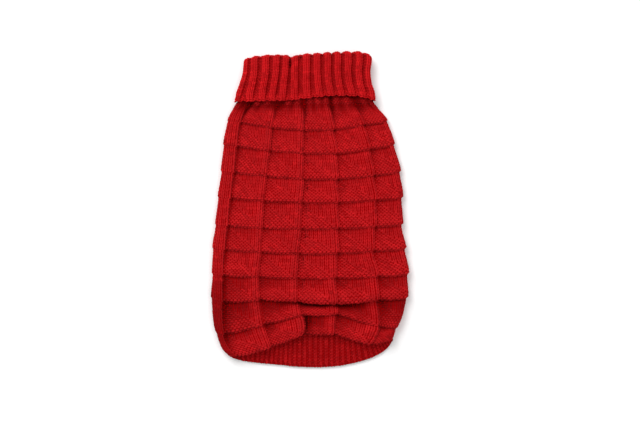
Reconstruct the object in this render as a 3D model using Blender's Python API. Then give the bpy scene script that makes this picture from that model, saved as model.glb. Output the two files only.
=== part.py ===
"""Knitted turtleneck dog sweater, laid flat with its back up.

+Y runs towards the collar, +X to the right seen from above, +Z up from the surface the sweater
lies on. The back panel is a sheet of raised tiles that wraps round both sides to seams underneath.
The belly panel lies flat between those seams and holds the two leg holes. The collar is one tube,
turned down over itself, and a ribbed band closes the hem. Sizes are in millimetres, turned to
metres where a mesh is made.
"""

from collections import namedtuple

import bmesh
import bpy
import numpy as np
from mathutils import Vector

MM = 0.001

# Walls, and the small gaps between layers that touch.
WALL = 3.0
BAND_WALL = 2.8
SEAM_GAP = 0.3
BODY_GAP = 0.8
NECK_GAP = 0.6

# The back panel's lowest level over the belly, and the collar's four layers.
BACK_TOP = WALL + BODY_GAP + WALL
COLLAR_HEIGHT = 4 * WALL + 2 * SEAM_GAP + NECK_GAP
COLLAR_FOLD_RADIUS = WALL + SEAM_GAP / 2

# The knit is counted in wales across and courses down. A tile is 10 wales by 8 courses.
TILE_WALES = 10.0
TILE_COURSES = 8.0
TUCK_COURSE = 64.0
HEM_COURSE = 80.0

# How far a tile's right edge and lower edge stand over its lowest corner, and a side band.
RIDGE_RISE = 1.5
SHINGLE_RISE = 1.1
BAND_RISE = 1.6
TILE_SAG = 1.2

# Shares of a tile over which it rises and drops again, and the wales and courses bands fade over.
RIDGE_CLIMB = 0.8
RIDGE_DROP = 0.07
SHINGLE_CLIMB = 0.85
SHINGLE_DROP = 0.1
LEFT_BAND_FADE = 0.7
RIGHT_BAND_FADE = 0.8
RIGHT_BAND_END = 2.0
RELIEF_START = -0.9
RELIEF_FADE = 6.0

# Where the body narrows into the neck, inside the turned-down collar.
NECK_SEAM_Y = 134.0
LIFT_START_Y = 108.0
LIFT_END_Y = 120.0

# How far the back panel reaches in underneath, at the chest and at the hem corners.
FLAP_WALES = 7.0
FLAP_WIDTH = 28.0
FLAP_TIP_WIDTH = 15.0

# Courses, below the tuck, over which the left and the right flap narrow to their tips.
LEFT_TAPER_COURSES = 16.0
RIGHT_TAPER_COURSES = 8.0

# The belly panel's lower edge and the rib band that runs along it and out to the hem corners.
BELLY_HEM_COURSE = 63.0
BELLY_BAND_DEPTH = 28.0
BELLY_ARM_WIDTH = 14.0

# Rib lines of the band's two arms: their course at the seam and how far they slope.
BELLY_ARM_LINES = ((79.0, 1.0), (73.2, 0.0), (72.0, -0.5), (71.0, -1.0), (65.2, -22.5), (64.0, -27.0))

# Leg holes: the middle of each, and the half width and half length of the rib band round it.
LEG_Y = 74.0
LEG_MIDDLE_X = -1.5
LEG_SPREAD = 36.5
LEG_BAND_OUTER = (24.0, 30.0)
LEG_BAND_INNER = (17.0, 23.0)
LEG_SIDES = 28

# Wales of the back panel's left fold, ridges a to e and right fold.
RIDGE_WALES = (0.0, 4.0, 14.0, 24.0, 34.0, 44.0, 51.5)
SIDE_BAND_WALE = 49.5
SIDE_BAND_COURSE = 40.0

# A row for each course line between tiles, the neck seam and the step under the collar.
# places and heights are its X and Y at the left fold, ridges a to e and the right fold.
CourseLine = namedtuple("CourseLine", "course places heights")
COURSE_LINES = (
    CourseLine(-4.5, (-77.5, -65, -38, -9, 23, 49, 69.5), (134, 134, 134, 134, 134, 134, 134)),
    CourseLine(-0.9, (-80, -68, -39, -8.5, 25, 52, 70.2), (120.3, 120.5, 121, 122, 122, 122, 121.4)),
    CourseLine(0, (-84, -70.5, -40, -8.5, 25.5, 54, 75), (117.2, 117.4, 118, 118.8, 118.8, 118.6, 118.2)),
    CourseLine(8, (-94, -79.5, -44, -8.5, 28.5, 62.5, 90.5), (100, 99, 93, 90, 90.5, 96, 100)),
    CourseLine(16, (-98, -83, -46.5, -8.5, 32, 69, 97), (73, 72, 67, 64, 63.5, 68.5, 73.5)),
    CourseLine(24, (-100, -86.5, -50, -8.5, 32.5, 73.5, 103), (43.5, 42.5, 38.5, 35, 35, 39, 43)),
    CourseLine(32, (-103.5, -90.5, -53, -10, 33.5, 76.5, 104.5), (14, 13.5, 10.5, 8.5, 8.5, 11.5, 14)),
    CourseLine(40, (-106.5, -94, -55, -11, 33.5, 75, 104.5), (-17, -17.5, -20, -21, -20.5, -18.5, -16.5)),
    CourseLine(48, (-109.5, -97, -56, -14, 33, 73, 108), (-43.5, -44.5, -47, -48.5, -48.5, -46, -43.5)),
    CourseLine(56, (-110, -99.5, -59, -15.5, 31, 78.5, 111), (-72, -73.5, -75, -76.5, -76.5, -74.5, -72)),
    CourseLine(64, (-111, -99.5, -58, -14.5, 31.5, 78.5, 110), (-99, -104, -101, -101, -103.5, -101, -99)),
    CourseLine(72, (-106, -99, -53.5, -11.5, 32, 79.5, 97), (-137, -141, -129, -118, -117, -131, -133)),
    CourseLine(77, (-100.5, -93.5, -49, -11, 31, 75, 96.5), (-154, -157, -145, -131, -131, -144, -139)),
    CourseLine(80, (-91, -85, -46, -10.5, 31, 71, 95.5), (-163.5, -165, -154, -139, -139.5, -151, -144.5)),
)

# A row for each large fold or puff of the back panel: its middle, its reach and its rise.
Fold = namedtuple("Fold", "wale course wale_reach course_reach rise")
FOLDS = (
    Fold(34.0, 61.6, 13.0, 2.2, 2.6),
    Fold(19.0, 61.8, 6.0, 1.8, 1.4),
    Fold(46.0, 61.8, 5.0, 1.8, 1.2),
    Fold(29.0, 69.5, 6.0, 2.0, 1.2),
    Fold(21.5, 76.0, 3.2, 3.4, 2.6),
    Fold(41.0, 76.0, 5.0, 3.0, 1.6),
    Fold(48.5, 75.5, 2.6, 2.4, 2.0),
    Fold(9.0, 77.0, 7.0, 3.6, 1.8),
)

# A row for each rib line of the tail hem band: its wale in the back panel and its lower end.
RibLine = namedtuple("RibLine", "wale low_x low_y")
TAIL_RIB_LINES = (
    RibLine(1.3, -88.0, -166.5),
    RibLine(4.0, -82.5, -169.6),
    RibLine(9.0, -66.0, -172.8),
    RibLine(14.0, -48.0, -174.6),
    RibLine(19.0, -29.5, -176.4),
    RibLine(24.0, -11.0, -178.2),
    RibLine(29.0, 10.0, -178.6),
    RibLine(34.0, 31.5, -177.2),
    RibLine(39.0, 54.0, -173.0),
    RibLine(44.0, 76.0, -165.2),
    RibLine(48.0, 88.0, -157.0),
    RibLine(50.9, 95.6, -147.4),
)
TAIL_BAND_TOP = 6.4

# A row for each level of the collar: its two side edges.
CollarLevel = namedtuple("CollarLevel", "y left right")
COLLAR_LEVELS = (
    CollarLevel(120.0, -84.2, 74.2),
    CollarLevel(130.0, -82.8, 74.4),
    CollarLevel(142.0, -78.4, 70.8),
    CollarLevel(156.0, -74.4, 69.2),
    CollarLevel(168.0, -73.4, 70.8),
    CollarLevel(179.0, -72.6, 71.0),
)

# A row for each point of the collar's fold and lower edge, by its share of the width.
CollarEdge = namedtuple("CollarEdge", "share fold_y low_y")
COLLAR_EDGES = (
    CollarEdge(0.00, 168.0, 120.5),
    CollarEdge(0.06, 171.5, 120.6),
    CollarEdge(0.20, 174.4, 121.2),
    CollarEdge(0.31, 174.6, 121.6),
    CollarEdge(0.36, 172.2, 121.6),
    CollarEdge(0.42, 174.8, 122.6),
    CollarEdge(0.55, 176.4, 125.0),
    CollarEdge(0.72, 178.0, 127.2),
    CollarEdge(0.86, 178.5, 126.6),
    CollarEdge(0.95, 177.0, 123.2),
    CollarEdge(1.00, 170.0, 121.6),
)
CREASE_SHARE = 0.36
CREASE_REACH = 0.02
CREASE_DEPTH = 1.1
COLLAR_FLAT_SHARES = (0, 0.06, 0.13, 0.2, 0.27, 0.32, 0.36, 0.4, 0.46, 0.54, 0.62, 0.7, 0.78, 0.86, 0.93, 1)
COLLAR_END_SHARES = (0.25, 0.5, 0.75)
TURN_LEVELS = (0.0, 0.15, 0.32, 0.55, 1.0)

# Where the back panel's grid lines run: in a tile, in the side bands and in the flaps.
TILE_STOPS = (0.0, 1.0, 5.0, 8.2, 9.4)
LEFT_STOPS = (0.0, 0.15, 0.6, 1.3, 2.6, 3.5)
RIGHT_STOPS = (44.0, 45.0, 48.0, 49.4, 50.3, 50.9, 51.3, 51.5)
FLAP_STOPS = (0.15, 0.6, 1.15, 3.5, 7.0)
COURSE_STOPS = (0.0, 1.2, 7.0)
UPPER_COURSES = (-4.5, -2.2, -0.9)
TAIL_SHARES = (0.0, 0.3, 0.6, 0.9, 1.0)
TAIL_SLOPE_SHARE = 0.9
BELLY_BAND_SHARES = (0.004, 0.1, 0.3, 0.5, 0.7, 0.9, 0.996)
GRID_WALL = 0.01
MERGE_DISTANCE = 0.00001
CUTTER_REACH = 2.0


def smooth_line(where, stops, values):
    """Rows of `values` at `where`, on smooth curves that pass the stops and never overshoot."""
    stops = np.asarray(stops, float)
    values = np.asarray(values, float).reshape(len(stops), -1)
    steps = np.diff(stops)[:, None]
    secants = np.diff(values, axis=0) / steps
    before, after = secants[:-1], secants[1:]
    turning = before * after <= 0.0
    inner = np.where(turning, 0.0, 2.0 * before * after / np.where(turning, 1.0, before + after))
    slopes = np.vstack([secants[:1], inner, secants[-1:]])
    where = min(max(where, stops[0]), stops[-1])
    span = min(int(np.searchsorted(stops, where, side="right")) - 1, len(stops) - 2)
    width = stops[span + 1] - stops[span]
    share = (where - stops[span]) / width
    square, cube = share**2, share**3
    return (
        (2 * cube - 3 * square + 1) * values[span]
        + (cube - 2 * square + share) * slopes[span] * width
        + (3 * square - 2 * cube) * values[span + 1]
        + (cube - square) * slopes[span + 1] * width
    )


def ease(share):
    """Rises smoothly from 0 to 1 as share goes from 0 to 1."""
    share = min(max(share, 0.0), 1.0)
    return share * share * (3.0 - 2.0 * share)


def blend(start, end, share):
    """The value that lies `share` of the way from start to end."""
    return start + (end - start) * share


def lift(y):
    """How far the body rises near the neck, to lie inside the turned-down collar."""
    return (WALL + SEAM_GAP) * ease((y - LIFT_START_Y) / (LIFT_END_Y - LIFT_START_Y))


def relief(wale, course):
    """How far the back panel's tiles, side bands and folds stand over its lowest level."""
    across = ((wale - RIDGE_WALES[1]) / TILE_WALES) % 1.0
    down = (course / TILE_COURSES) % 1.0
    ridge = RIDGE_RISE * ease(across / RIDGE_CLIMB) * ease((1.0 - across) / RIDGE_DROP)
    shingle = SHINGLE_RISE * ease(down / SHINGLE_CLIMB) * ease((1.0 - down) / SHINGLE_DROP)
    tile = ridge + shingle if wale >= RIDGE_WALES[1] else 0.0
    left_band = ease((RIDGE_WALES[1] - wale) / LEFT_BAND_FADE)
    right_band = ease((wale - SIDE_BAND_WALE) / RIGHT_BAND_FADE)
    right_band *= ease((SIDE_BAND_COURSE - course) / RIGHT_BAND_END)
    rise = tile * (1.0 - right_band) + BAND_RISE * (left_band + right_band)
    for fold in FOLDS:
        away = ((wale - fold.wale) / fold.wale_reach) ** 2
        away += ((course - fold.course) / fold.course_reach) ** 2
        rise += fold.rise * np.exp(-away)
    return rise * ease((course - RELIEF_START) / RELIEF_FADE)


def back_surface(wale, course, y):
    """Height of the back panel's outer face."""
    narrowing = (NECK_GAP - BODY_GAP) * ease((y - LIFT_START_Y) / (LIFT_END_Y - LIFT_START_Y))
    return BACK_TOP + narrowing + lift(y) + relief(wale, course)


def flap_width(course, at_left):
    """How far the back panel reaches in underneath, measured from its side fold."""
    taper = LEFT_TAPER_COURSES if at_left else RIGHT_TAPER_COURSES
    return blend(FLAP_WIDTH, FLAP_TIP_WIDTH, ease((course - TUCK_COURSE) / taper))


def course_line(course):
    """X and Y of a course where it crosses the side folds and the ridges."""
    courses = [line.course for line in COURSE_LINES]
    places = smooth_line(course, courses, [line.places for line in COURSE_LINES])
    heights = smooth_line(course, courses, [line.heights for line in COURSE_LINES])
    return places, heights


def back_point(wale, course, depth):
    """A point of the back panel, `depth` in from its outer face.

    Wales under 0 and over the right fold's wale are the flaps underneath.
    """
    places, heights = course_line(course)
    last = RIDGE_WALES[-1]
    at_left = wale < last / 2.0
    fold_wale, fold_x, fold_y = (0.0, places[0], heights[0]) if at_left else (last, places[-1], heights[-1])
    underneath = wale < 0.0 or wale > last
    if underneath:
        x_inward = abs(wale - fold_wale) / FLAP_WALES * flap_width(course, at_left)
        y = fold_y
    else:
        x_inward = abs(float(np.interp(wale, RIDGE_WALES, places)) - fold_x)
        ridge = float(np.interp(wale, RIDGE_WALES, range(len(RIDGE_WALES))))
        sag = TILE_SAG * np.sin(np.pi * (ridge % 1.0)) * ease(course / TUCK_COURSE)
        y = float(np.interp(wale, RIDGE_WALES, heights)) - sag
    floor = lift(fold_y if underneath else y)
    edge_top = back_surface(fold_wale, course, y)
    radius = (edge_top - floor) / 2.0
    away = max(1.0 - x_inward / radius, 0.0)
    rise = np.sqrt(1.0 - away * away)
    inward = 1.0 if at_left else -1.0
    x = fold_x + inward * (x_inward + depth * away)
    if underneath:
        return Vector((x, y, floor + radius - (radius - depth) * rise))
    swell = (back_surface(wale, course, y) - edge_top) * rise * rise
    return Vector((x, y, floor + radius + (radius - depth) * rise + swell))


def flap_edge(side, course, gap=SEAM_GAP):
    """X and Y of the seam underneath, `gap` past the back panel's inner edge."""
    places, heights = course_line(course)
    fold_x, y = (places[0], heights[0]) if side < 0 else (places[-1], heights[-1])
    return Vector((fold_x - side * (flap_width(course, side < 0) + gap), y))


def belly_point(share, course, depth):
    """A point of the belly panel, `depth` up from its underside."""
    flat = flap_edge(-1, course).lerp(flap_edge(1, course), share)
    return Vector((flat.x, flat.y, lift(flat.y) + depth))


def tail_band_point(wale, share, depth):
    """A point of the tail hem band, `share` of the way down a rib line."""
    wales = [line.wale for line in TAIL_RIB_LINES]
    ends = [(line.low_x, line.low_y) for line in TAIL_RIB_LINES]
    low_x, low_y = smooth_line(wale, wales, ends)
    top = back_point(wale, HEM_COURSE, 0.0)
    x = blend(top.x, low_x, share)
    y = blend(top.y - SEAM_GAP, low_y, share)
    outer = blend(TAIL_BAND_TOP, BAND_WALL, ease(share / TAIL_SLOPE_SHARE))
    return Vector((x, y, outer - depth))


def belly_band_stations():
    """Seam end and free end of each rib line of the belly hem band, from left to right."""
    left_arm = []
    right_arm = []
    for course, drop in BELLY_ARM_LINES:
        for side, stations in ((-1, left_arm), (1, right_arm)):
            seam = flap_edge(side, course)
            stations.append((seam, seam + Vector((-side * BELLY_ARM_WIDTH, drop))))
    middle = []
    for share in BELLY_BAND_SHARES:
        flat = belly_point(share, BELLY_HEM_COURSE, 0.0)
        seam = Vector((flat.x, flat.y - SEAM_GAP))
        inset = BELLY_ARM_WIDTH * (1.0 - 2.0 * share)
        middle.append((seam, seam + Vector((inset, -BELLY_BAND_DEPTH))))
    return left_arm + middle + right_arm[::-1]


def collar_line(share, part, level, depth):
    """Y of a point of the collar's wall, the collar's two sides there, and its depth.

    share runs from the left side to the right. part is "turn" for the outer layer, "fold" for
    the rounded top and "neck" for the inner layer. level runs from the lower edge to the fold,
    and round the fold from the outer to the inner side. depth is in from the outer face.
    """
    shares = [edge.share for edge in COLLAR_EDGES]
    fold_y, low_y = smooth_line(share, shares, [(edge.fold_y, edge.low_y) for edge in COLLAR_EDGES])
    shoulder = fold_y - COLLAR_FOLD_RADIUS
    if part == "turn":
        y = blend(low_y, shoulder, level)
    elif part == "neck":
        y = blend(NECK_SEAM_Y + SEAM_GAP, shoulder, level)
    else:
        radius = COLLAR_FOLD_RADIUS - depth
        y = shoulder + radius * np.sin(np.pi * level)
        depth = COLLAR_FOLD_RADIUS - radius * np.cos(np.pi * level)
    levels = [row.y for row in COLLAR_LEVELS]
    left, right = smooth_line(y, levels, [(row.left, row.right) for row in COLLAR_LEVELS])
    return y, left, right, depth


def collar_loop():
    """Stops round the flattened collar: X share, and the angle of the turn at each end."""
    top = [(share, np.pi / 2) for share in COLLAR_FLAT_SHARES]
    right_end = [(1.0, np.pi * (0.5 - share)) for share in COLLAR_END_SHARES]
    under = [(share, -np.pi / 2) for share in reversed(COLLAR_FLAT_SHARES)]
    left_end = [(0.0, np.pi * (share - 0.5)) for share in COLLAR_END_SHARES]
    return top + right_end + under + left_end


def collar_profile():
    """Points round the collar wall's section: part, level and depth from the outer face."""
    inner = COLLAR_FOLD_RADIUS * 2.0
    turn = [("turn", level, 0.0) for level in TURN_LEVELS]
    fold = [("fold", level, 0.0) for level in (0.25, 0.5, 0.75)]
    neck = [("neck", level, inner) for level in (1.0, 0.5, 0.0)]
    back_up = [("neck", level, inner - WALL) for level in (0.0, 0.5, 1.0)]
    inner_fold = [("fold", 0.5, WALL)]
    back_down = [("turn", level, WALL) for level in reversed(TURN_LEVELS)]
    return turn + fold + neck + back_up + inner_fold + back_down


def collar_place(stop, profile_point):
    """A point of the collar in space."""
    share, angle = stop
    part, level, depth = profile_point
    y, left, right, depth = collar_line(share, part, level, depth)
    half = COLLAR_HEIGHT / 2.0
    x = blend(left + half, right - half, share)
    radius = half - depth
    z = half + radius * np.sin(angle)
    reach = radius * np.cos(angle)
    x += reach if share > 0.5 else -reach
    if depth == 0.0 and angle > 0.0 and part == "turn":
        z -= CREASE_DEPTH * np.exp(-(((share - CREASE_SHARE) / CREASE_REACH) ** 2))
    return Vector((x, y, z))


def knit_material(name, colour, roughness):
    """A plain matte material for knitted yarn."""
    material = bpy.data.materials.new(name)
    material.use_nodes = True
    surface = material.node_tree.nodes["Principled BSDF"]
    surface.inputs["Base Color"].default_value = (*colour, 1.0)
    surface.inputs["Roughness"].default_value = roughness
    surface.inputs["Metallic"].default_value = 0.0
    return material


def add_piece(name, shape, collection, material):
    """Makes an object of a bmesh, with its faces pointing outwards."""
    bmesh.ops.recalc_face_normals(shape, faces=shape.faces)
    if shape.calc_volume(signed=True) < 0.0:
        bmesh.ops.reverse_faces(shape, faces=shape.faces)
    mesh = bpy.data.meshes.new(name)
    shape.to_mesh(mesh)
    shape.free()
    mesh.materials.append(material)
    piece = bpy.data.objects.new(name, mesh)
    collection.objects.link(piece)
    return piece


def wall_sheet(across, down, place):
    """A closed wall: place(a, d, side) is a point on its outer face at 0 and inner face at 1."""
    shape = bmesh.new()
    columns, rows = len(across) - 1, len(down) - 1
    bmesh.ops.create_grid(shape, x_segments=columns, y_segments=rows, size=1.0)
    bmesh.ops.solidify(shape, geom=shape.faces[:], thickness=GRID_WALL)
    for corner in shape.verts:
        column = round((corner.co.x + 1.0) / 2.0 * columns)
        row = round((corner.co.y + 1.0) / 2.0 * rows)
        side = 1 if abs(corner.co.z) > GRID_WALL / 2.0 else 0
        corner.co = place(across[column], down[row], side) * MM
    return shape


def course_stops():
    """Courses at which the body's walls have a row of corners, from neck to hem."""
    rows = np.arange(0.0, HEM_COURSE, TILE_COURSES)
    return list(UPPER_COURSES) + [row + stop for row in rows for stop in COURSE_STOPS] + [HEM_COURSE]


def wale_stops():
    """Wales at which the back panel's top layer has a column of corners, from left to right."""
    tiles = [wale + stop for wale in RIDGE_WALES[1:-2] for stop in TILE_STOPS]
    return list(LEFT_STOPS) + tiles + list(RIGHT_STOPS)


def back_panel():
    """The tiled back with its side folds and the flaps underneath."""
    left_flap = [-stop for stop in reversed(FLAP_STOPS)]
    right_flap = [RIDGE_WALES[-1] + stop for stop in FLAP_STOPS]

    def place(wale, course, wall):
        return back_point(wale, course, WALL * wall)

    return wall_sheet(left_flap + wale_stops() + right_flap, course_stops(), place)


def belly_panel():
    """The plain belly between the two side seams, before its leg holes are cut."""
    down = [course for course in course_stops() if course <= BELLY_HEM_COURSE]

    def place(share, course, wall):
        return belly_point(share, course, WALL * wall)

    return wall_sheet((0.0, 1.0), down, place)


def tail_hem_band():
    """The ribbed crescent below the back panel."""
    first, last = TAIL_RIB_LINES[0].wale, TAIL_RIB_LINES[-1].wale
    across = [wale for wale in wale_stops() if first <= wale <= last]

    def place(wale, share, wall):
        return tail_band_point(wale, share, BAND_WALL * wall)

    return wall_sheet(across, TAIL_SHARES, place)


def belly_hem_band():
    """The rest of the ribbed hem, along the belly and out to the hem corners."""
    stations = belly_band_stations()

    def place(station, share, wall):
        seam, free = stations[station]
        flat = seam.lerp(free, share)
        return Vector((flat.x, flat.y, BAND_WALL * wall))

    return wall_sheet(range(len(stations)), (0.0, 0.5, 1.0), place)


def collar():
    """The turtleneck: one wall swept round the flattened neck and folded down over itself."""
    stops = collar_loop()
    profile = collar_profile()
    shape = bmesh.new()
    bmesh.ops.create_grid(shape, x_segments=len(stops), y_segments=len(profile), size=1.0)
    for index, corner in enumerate(shape.verts):
        row, column = divmod(index, len(stops) + 1)
        corner.co = collar_place(stops[column % len(stops)], profile[row % len(profile)]) * MM
    bmesh.ops.remove_doubles(shape, verts=shape.verts, dist=MERGE_DISTANCE)
    return shape


def leg_ring(middle_x, half_sizes, z_low, z_high):
    """A closed oval block, LEG_SIDES round, that stands for a leg hole's edge."""
    shape = bmesh.new()
    bmesh.ops.create_cone(
        shape, cap_ends=True, segments=LEG_SIDES, radius1=1.0, radius2=1.0, depth=(z_high - z_low) * MM
    )
    bmesh.ops.scale(shape, vec=(half_sizes[0] * MM, half_sizes[1] * MM, 1.0), verts=shape.verts)
    middle = Vector((middle_x, LEG_Y, (z_low + z_high) / 2.0)) * MM
    bmesh.ops.translate(shape, vec=middle, verts=shape.verts)
    return shape


def cut(piece, cutter):
    """Takes the cutter's shape out of the piece."""
    cutter.hide_render = True
    cutter.display_type = "WIRE"
    boolean = piece.modifiers.new(cutter.name, "BOOLEAN")
    boolean.operation = "DIFFERENCE"
    boolean.solver = "EXACT"
    boolean.object = cutter


def build():
    """Makes every piece of the sweater."""
    for leftover in list(bpy.data.objects):
        bpy.data.objects.remove(leftover, do_unlink=True)
    sweater = bpy.data.collections.new("dog_sweater")
    cutters = bpy.data.collections.new("cutters")
    bpy.context.scene.collection.children.link(sweater)
    bpy.context.scene.collection.children.link(cutters)
    knit = knit_material("body_knit", (0.37, 0.006, 0.008), 0.9)
    rib = knit_material("rib_knit", (0.41, 0.008, 0.010), 0.88)

    add_piece("back_panel", back_panel(), sweater, knit)
    belly = add_piece("belly_panel", belly_panel(), sweater, knit)
    add_piece("collar", collar(), sweater, rib)
    add_piece("tail_hem_band", tail_hem_band(), sweater, rib)
    add_piece("belly_hem_band", belly_hem_band(), sweater, rib)
    for side, side_name in ((-1, "left"), (1, "right")):
        middle_x = LEG_MIDDLE_X + side * LEG_SPREAD
        low, high = -CUTTER_REACH, WALL + CUTTER_REACH
        hole_sizes = [size + SEAM_GAP for size in LEG_BAND_OUTER]
        hole = leg_ring(middle_x, hole_sizes, low, high)
        cut(belly, add_piece(f"leg_hole_{side_name}", hole, cutters, knit))
        ring = leg_ring(middle_x, LEG_BAND_OUTER, 0.0, BAND_WALL)
        band = add_piece(f"leg_band_{side_name}", ring, sweater, rib)
        opening = leg_ring(middle_x, LEG_BAND_INNER, low, high)
        cut(band, add_piece(f"leg_opening_{side_name}", opening, cutters, rib))


build()
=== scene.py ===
"""Knitted turtleneck dog sweater, laid flat with its back up, in a plain studio.

The sweater is made stitch by stitch. A chart says which stitches are knit and which are purl, and
one short closed loop of yarn is modelled for each kind. Geometry Nodes lays a loop on every stitch
of the flat chart, and the chart is then bent over the piece's own form, with its side folds, tiles
and creases. A thin shell of the same form lies behind the loops, as the back of the cloth, in a dark
red that is painted shade for the gaps between the loops.

Sizes are millimetres, and become metres where a mesh is written.
"""

import logging
import math
from collections.abc import Sequence
from dataclasses import dataclass, field
from enum import Enum

import bmesh
import bpy
import numpy as np
from mathutils import Matrix, Vector


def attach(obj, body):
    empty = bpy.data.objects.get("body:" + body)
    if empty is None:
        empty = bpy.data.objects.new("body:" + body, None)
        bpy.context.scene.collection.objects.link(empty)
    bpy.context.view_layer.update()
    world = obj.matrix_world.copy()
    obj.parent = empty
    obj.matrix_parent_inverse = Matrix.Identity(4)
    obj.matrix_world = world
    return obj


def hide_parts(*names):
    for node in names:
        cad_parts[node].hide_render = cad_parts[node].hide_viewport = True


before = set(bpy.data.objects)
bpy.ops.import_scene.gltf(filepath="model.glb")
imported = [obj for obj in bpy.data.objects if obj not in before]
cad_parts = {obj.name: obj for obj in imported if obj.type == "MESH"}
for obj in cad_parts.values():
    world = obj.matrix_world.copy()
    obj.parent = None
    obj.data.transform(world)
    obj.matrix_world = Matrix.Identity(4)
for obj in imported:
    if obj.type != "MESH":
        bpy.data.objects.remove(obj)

LOG = logging.getLogger("dog_sweater")
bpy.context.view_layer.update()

MM = 0.001

# The knit's gauge: the width of a wale and the depth of a course.
WALE = 4.4
COURSE = 3.5

# Levels over the surface the sweater lies on: the lowest layer's middle line, and the lowest yarn.
FLOOR_LEVEL = 1.7
LOWEST = 0.3

# The yarn's sides, and how far apart the turns of a loop's strands lie on its map.
YARN_SIDES = 5
STRAND_STEP = 2.0

# The ends of a strand on its map: their width, how far out they lie and how deep they are.
END_WIDTH = 0.1
END_REACH = 1.06
END_DEPTH = 0.02

# What a strand's half of a cell on the baking map spans, in turns and in lengths of the strand.
CELL_TURNS = 1.36
CELL_LENGTHS = 1.2

# How far to each side of a stitch the form is read to find which way it faces, in stitches.
FACING_STEP = 0.3

# Ends of a closed piece's shell that lie nearer than this are joined.
JOIN_WITHIN = 0.01

# Lengths that are taken instead of nothing, where something is divided by them.
NEARLY_ZERO = 1e-9
SHORTEST_RIB = 1e-6

# How much the stitches differ: the middle and the spread of each one's tone, turn and size.
STITCH_SPREADS = (("tone", 1.0, 0.09), ("turn", 0.0, 0.08), ("size", 1.0, 0.04))

Array = np.ndarray


def linear(hex_colour: str) -> tuple[float, float, float, float]:
    """Turns an sRGB hex colour to linear light.

    Args:
        hex_colour: six hex digits, such as "b01218".

    Returns:
        Red, green, blue and an alpha of 1.
    """
    shares = [int(hex_colour[start : start + 2], 16) / 255.0 for start in (0, 2, 4)]
    light = [share / 12.92 if share <= 0.04045 else ((share + 0.055) / 1.055) ** 2.4 for share in shares]
    return (light[0], light[1], light[2], 1.0)


def add_node(
    tree: bpy.types.NodeTree,
    kind: str,
    values: dict[str | int, object] | None = None,
    links: dict[str | int, bpy.types.NodeSocket] | None = None,
    **settings: object,
) -> bpy.types.Node:
    """Adds a node with its settings, socket values and links.

    Args:
        tree: the node tree it goes in.
        kind: Blender's name for the kind of node.
        values: a value for each input that is set.
        links: an output for each input that is linked.
        settings: the node's own properties.

    Returns:
        The new node.
    """
    node = tree.nodes.new(kind)
    for name, setting in settings.items():
        setattr(node, name, setting)
    for socket, value in (values or {}).items():
        node.inputs[socket].default_value = value
    for socket, source in (links or {}).items():
        tree.links.new(source, node.inputs[socket])
    return node


def ease(share: Array | float) -> Array:
    """Rises smoothly from 0 to 1 as share goes from 0 to 1."""
    share = np.clip(share, 0.0, 1.0)
    return share * share * (3.0 - 2.0 * share)


def blend(start: Array | float, end: Array | float, share: Array | float) -> Array:
    """The value that lies `share` of the way from start to end."""
    return start + (end - start) * share


def smooth_rows(where: Array, stops: Sequence[float], rows: Sequence[Sequence[float]]) -> Array:
    """Reads smooth curves that pass every stop and never overshoot.

    Args:
        where: the places to read, one for each row of the result.
        stops: the rising places of the known rows.
        rows: the known values, a row for each stop.

    Returns:
        An array with a row for each place and a column for each curve.
    """
    stops = np.asarray(stops, float)
    values = np.asarray(rows, float).reshape(len(stops), -1)
    widths = np.diff(stops)[:, None]
    secants = np.diff(values, axis=0) / widths
    before = secants[:-1]
    after = secants[1:]
    turning = before * after <= 0.0
    inner = np.where(turning, 0.0, 2.0 * before * after / np.where(turning, 1.0, before + after))
    slopes = np.vstack([secants[:1], inner, secants[-1:]])
    span = np.clip(np.searchsorted(stops, where, side="right") - 1, 0, len(stops) - 2)
    width = widths[span]
    share = ((np.clip(where, stops[0], stops[-1]) - stops[span])[:, None]) / width
    square = share**2
    cube = share**3
    beyond = (where - np.clip(where, stops[0], stops[-1]))[:, None]
    end_slope = np.where(beyond < 0.0, slopes[:1], slopes[-1:])
    return (
        (2 * cube - 3 * square + 1) * values[span]
        + (cube - 2 * square + share) * slopes[span] * width
        + (3 * square - 2 * cube) * values[span + 1]
        + (cube - square) * slopes[span + 1] * width
        + beyond * end_slope
    )


def between(where: Array, stops: Sequence[float], columns: Array) -> Array:
    """Reads straight lines between columns, where each row has its own values.

    Args:
        where: the place to read in each row.
        stops: the rising places of the columns.
        columns: a row of values for each place.

    Returns:
        One value for each row.
    """
    stops = np.asarray(stops, float)
    span = np.clip(np.searchsorted(stops, where, side="right") - 1, 0, len(stops) - 2)
    share = (where - stops[span]) / (stops[span + 1] - stops[span])
    row = np.arange(len(where))
    return blend(columns[row, span], columns[row, span + 1], share)


class Kind(Enum):
    """The kinds of stitch, by the name of their loop of yarn."""

    KNIT = "knit"
    PURL = "purl"
    CAST_OFF = "cast_off"


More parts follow.
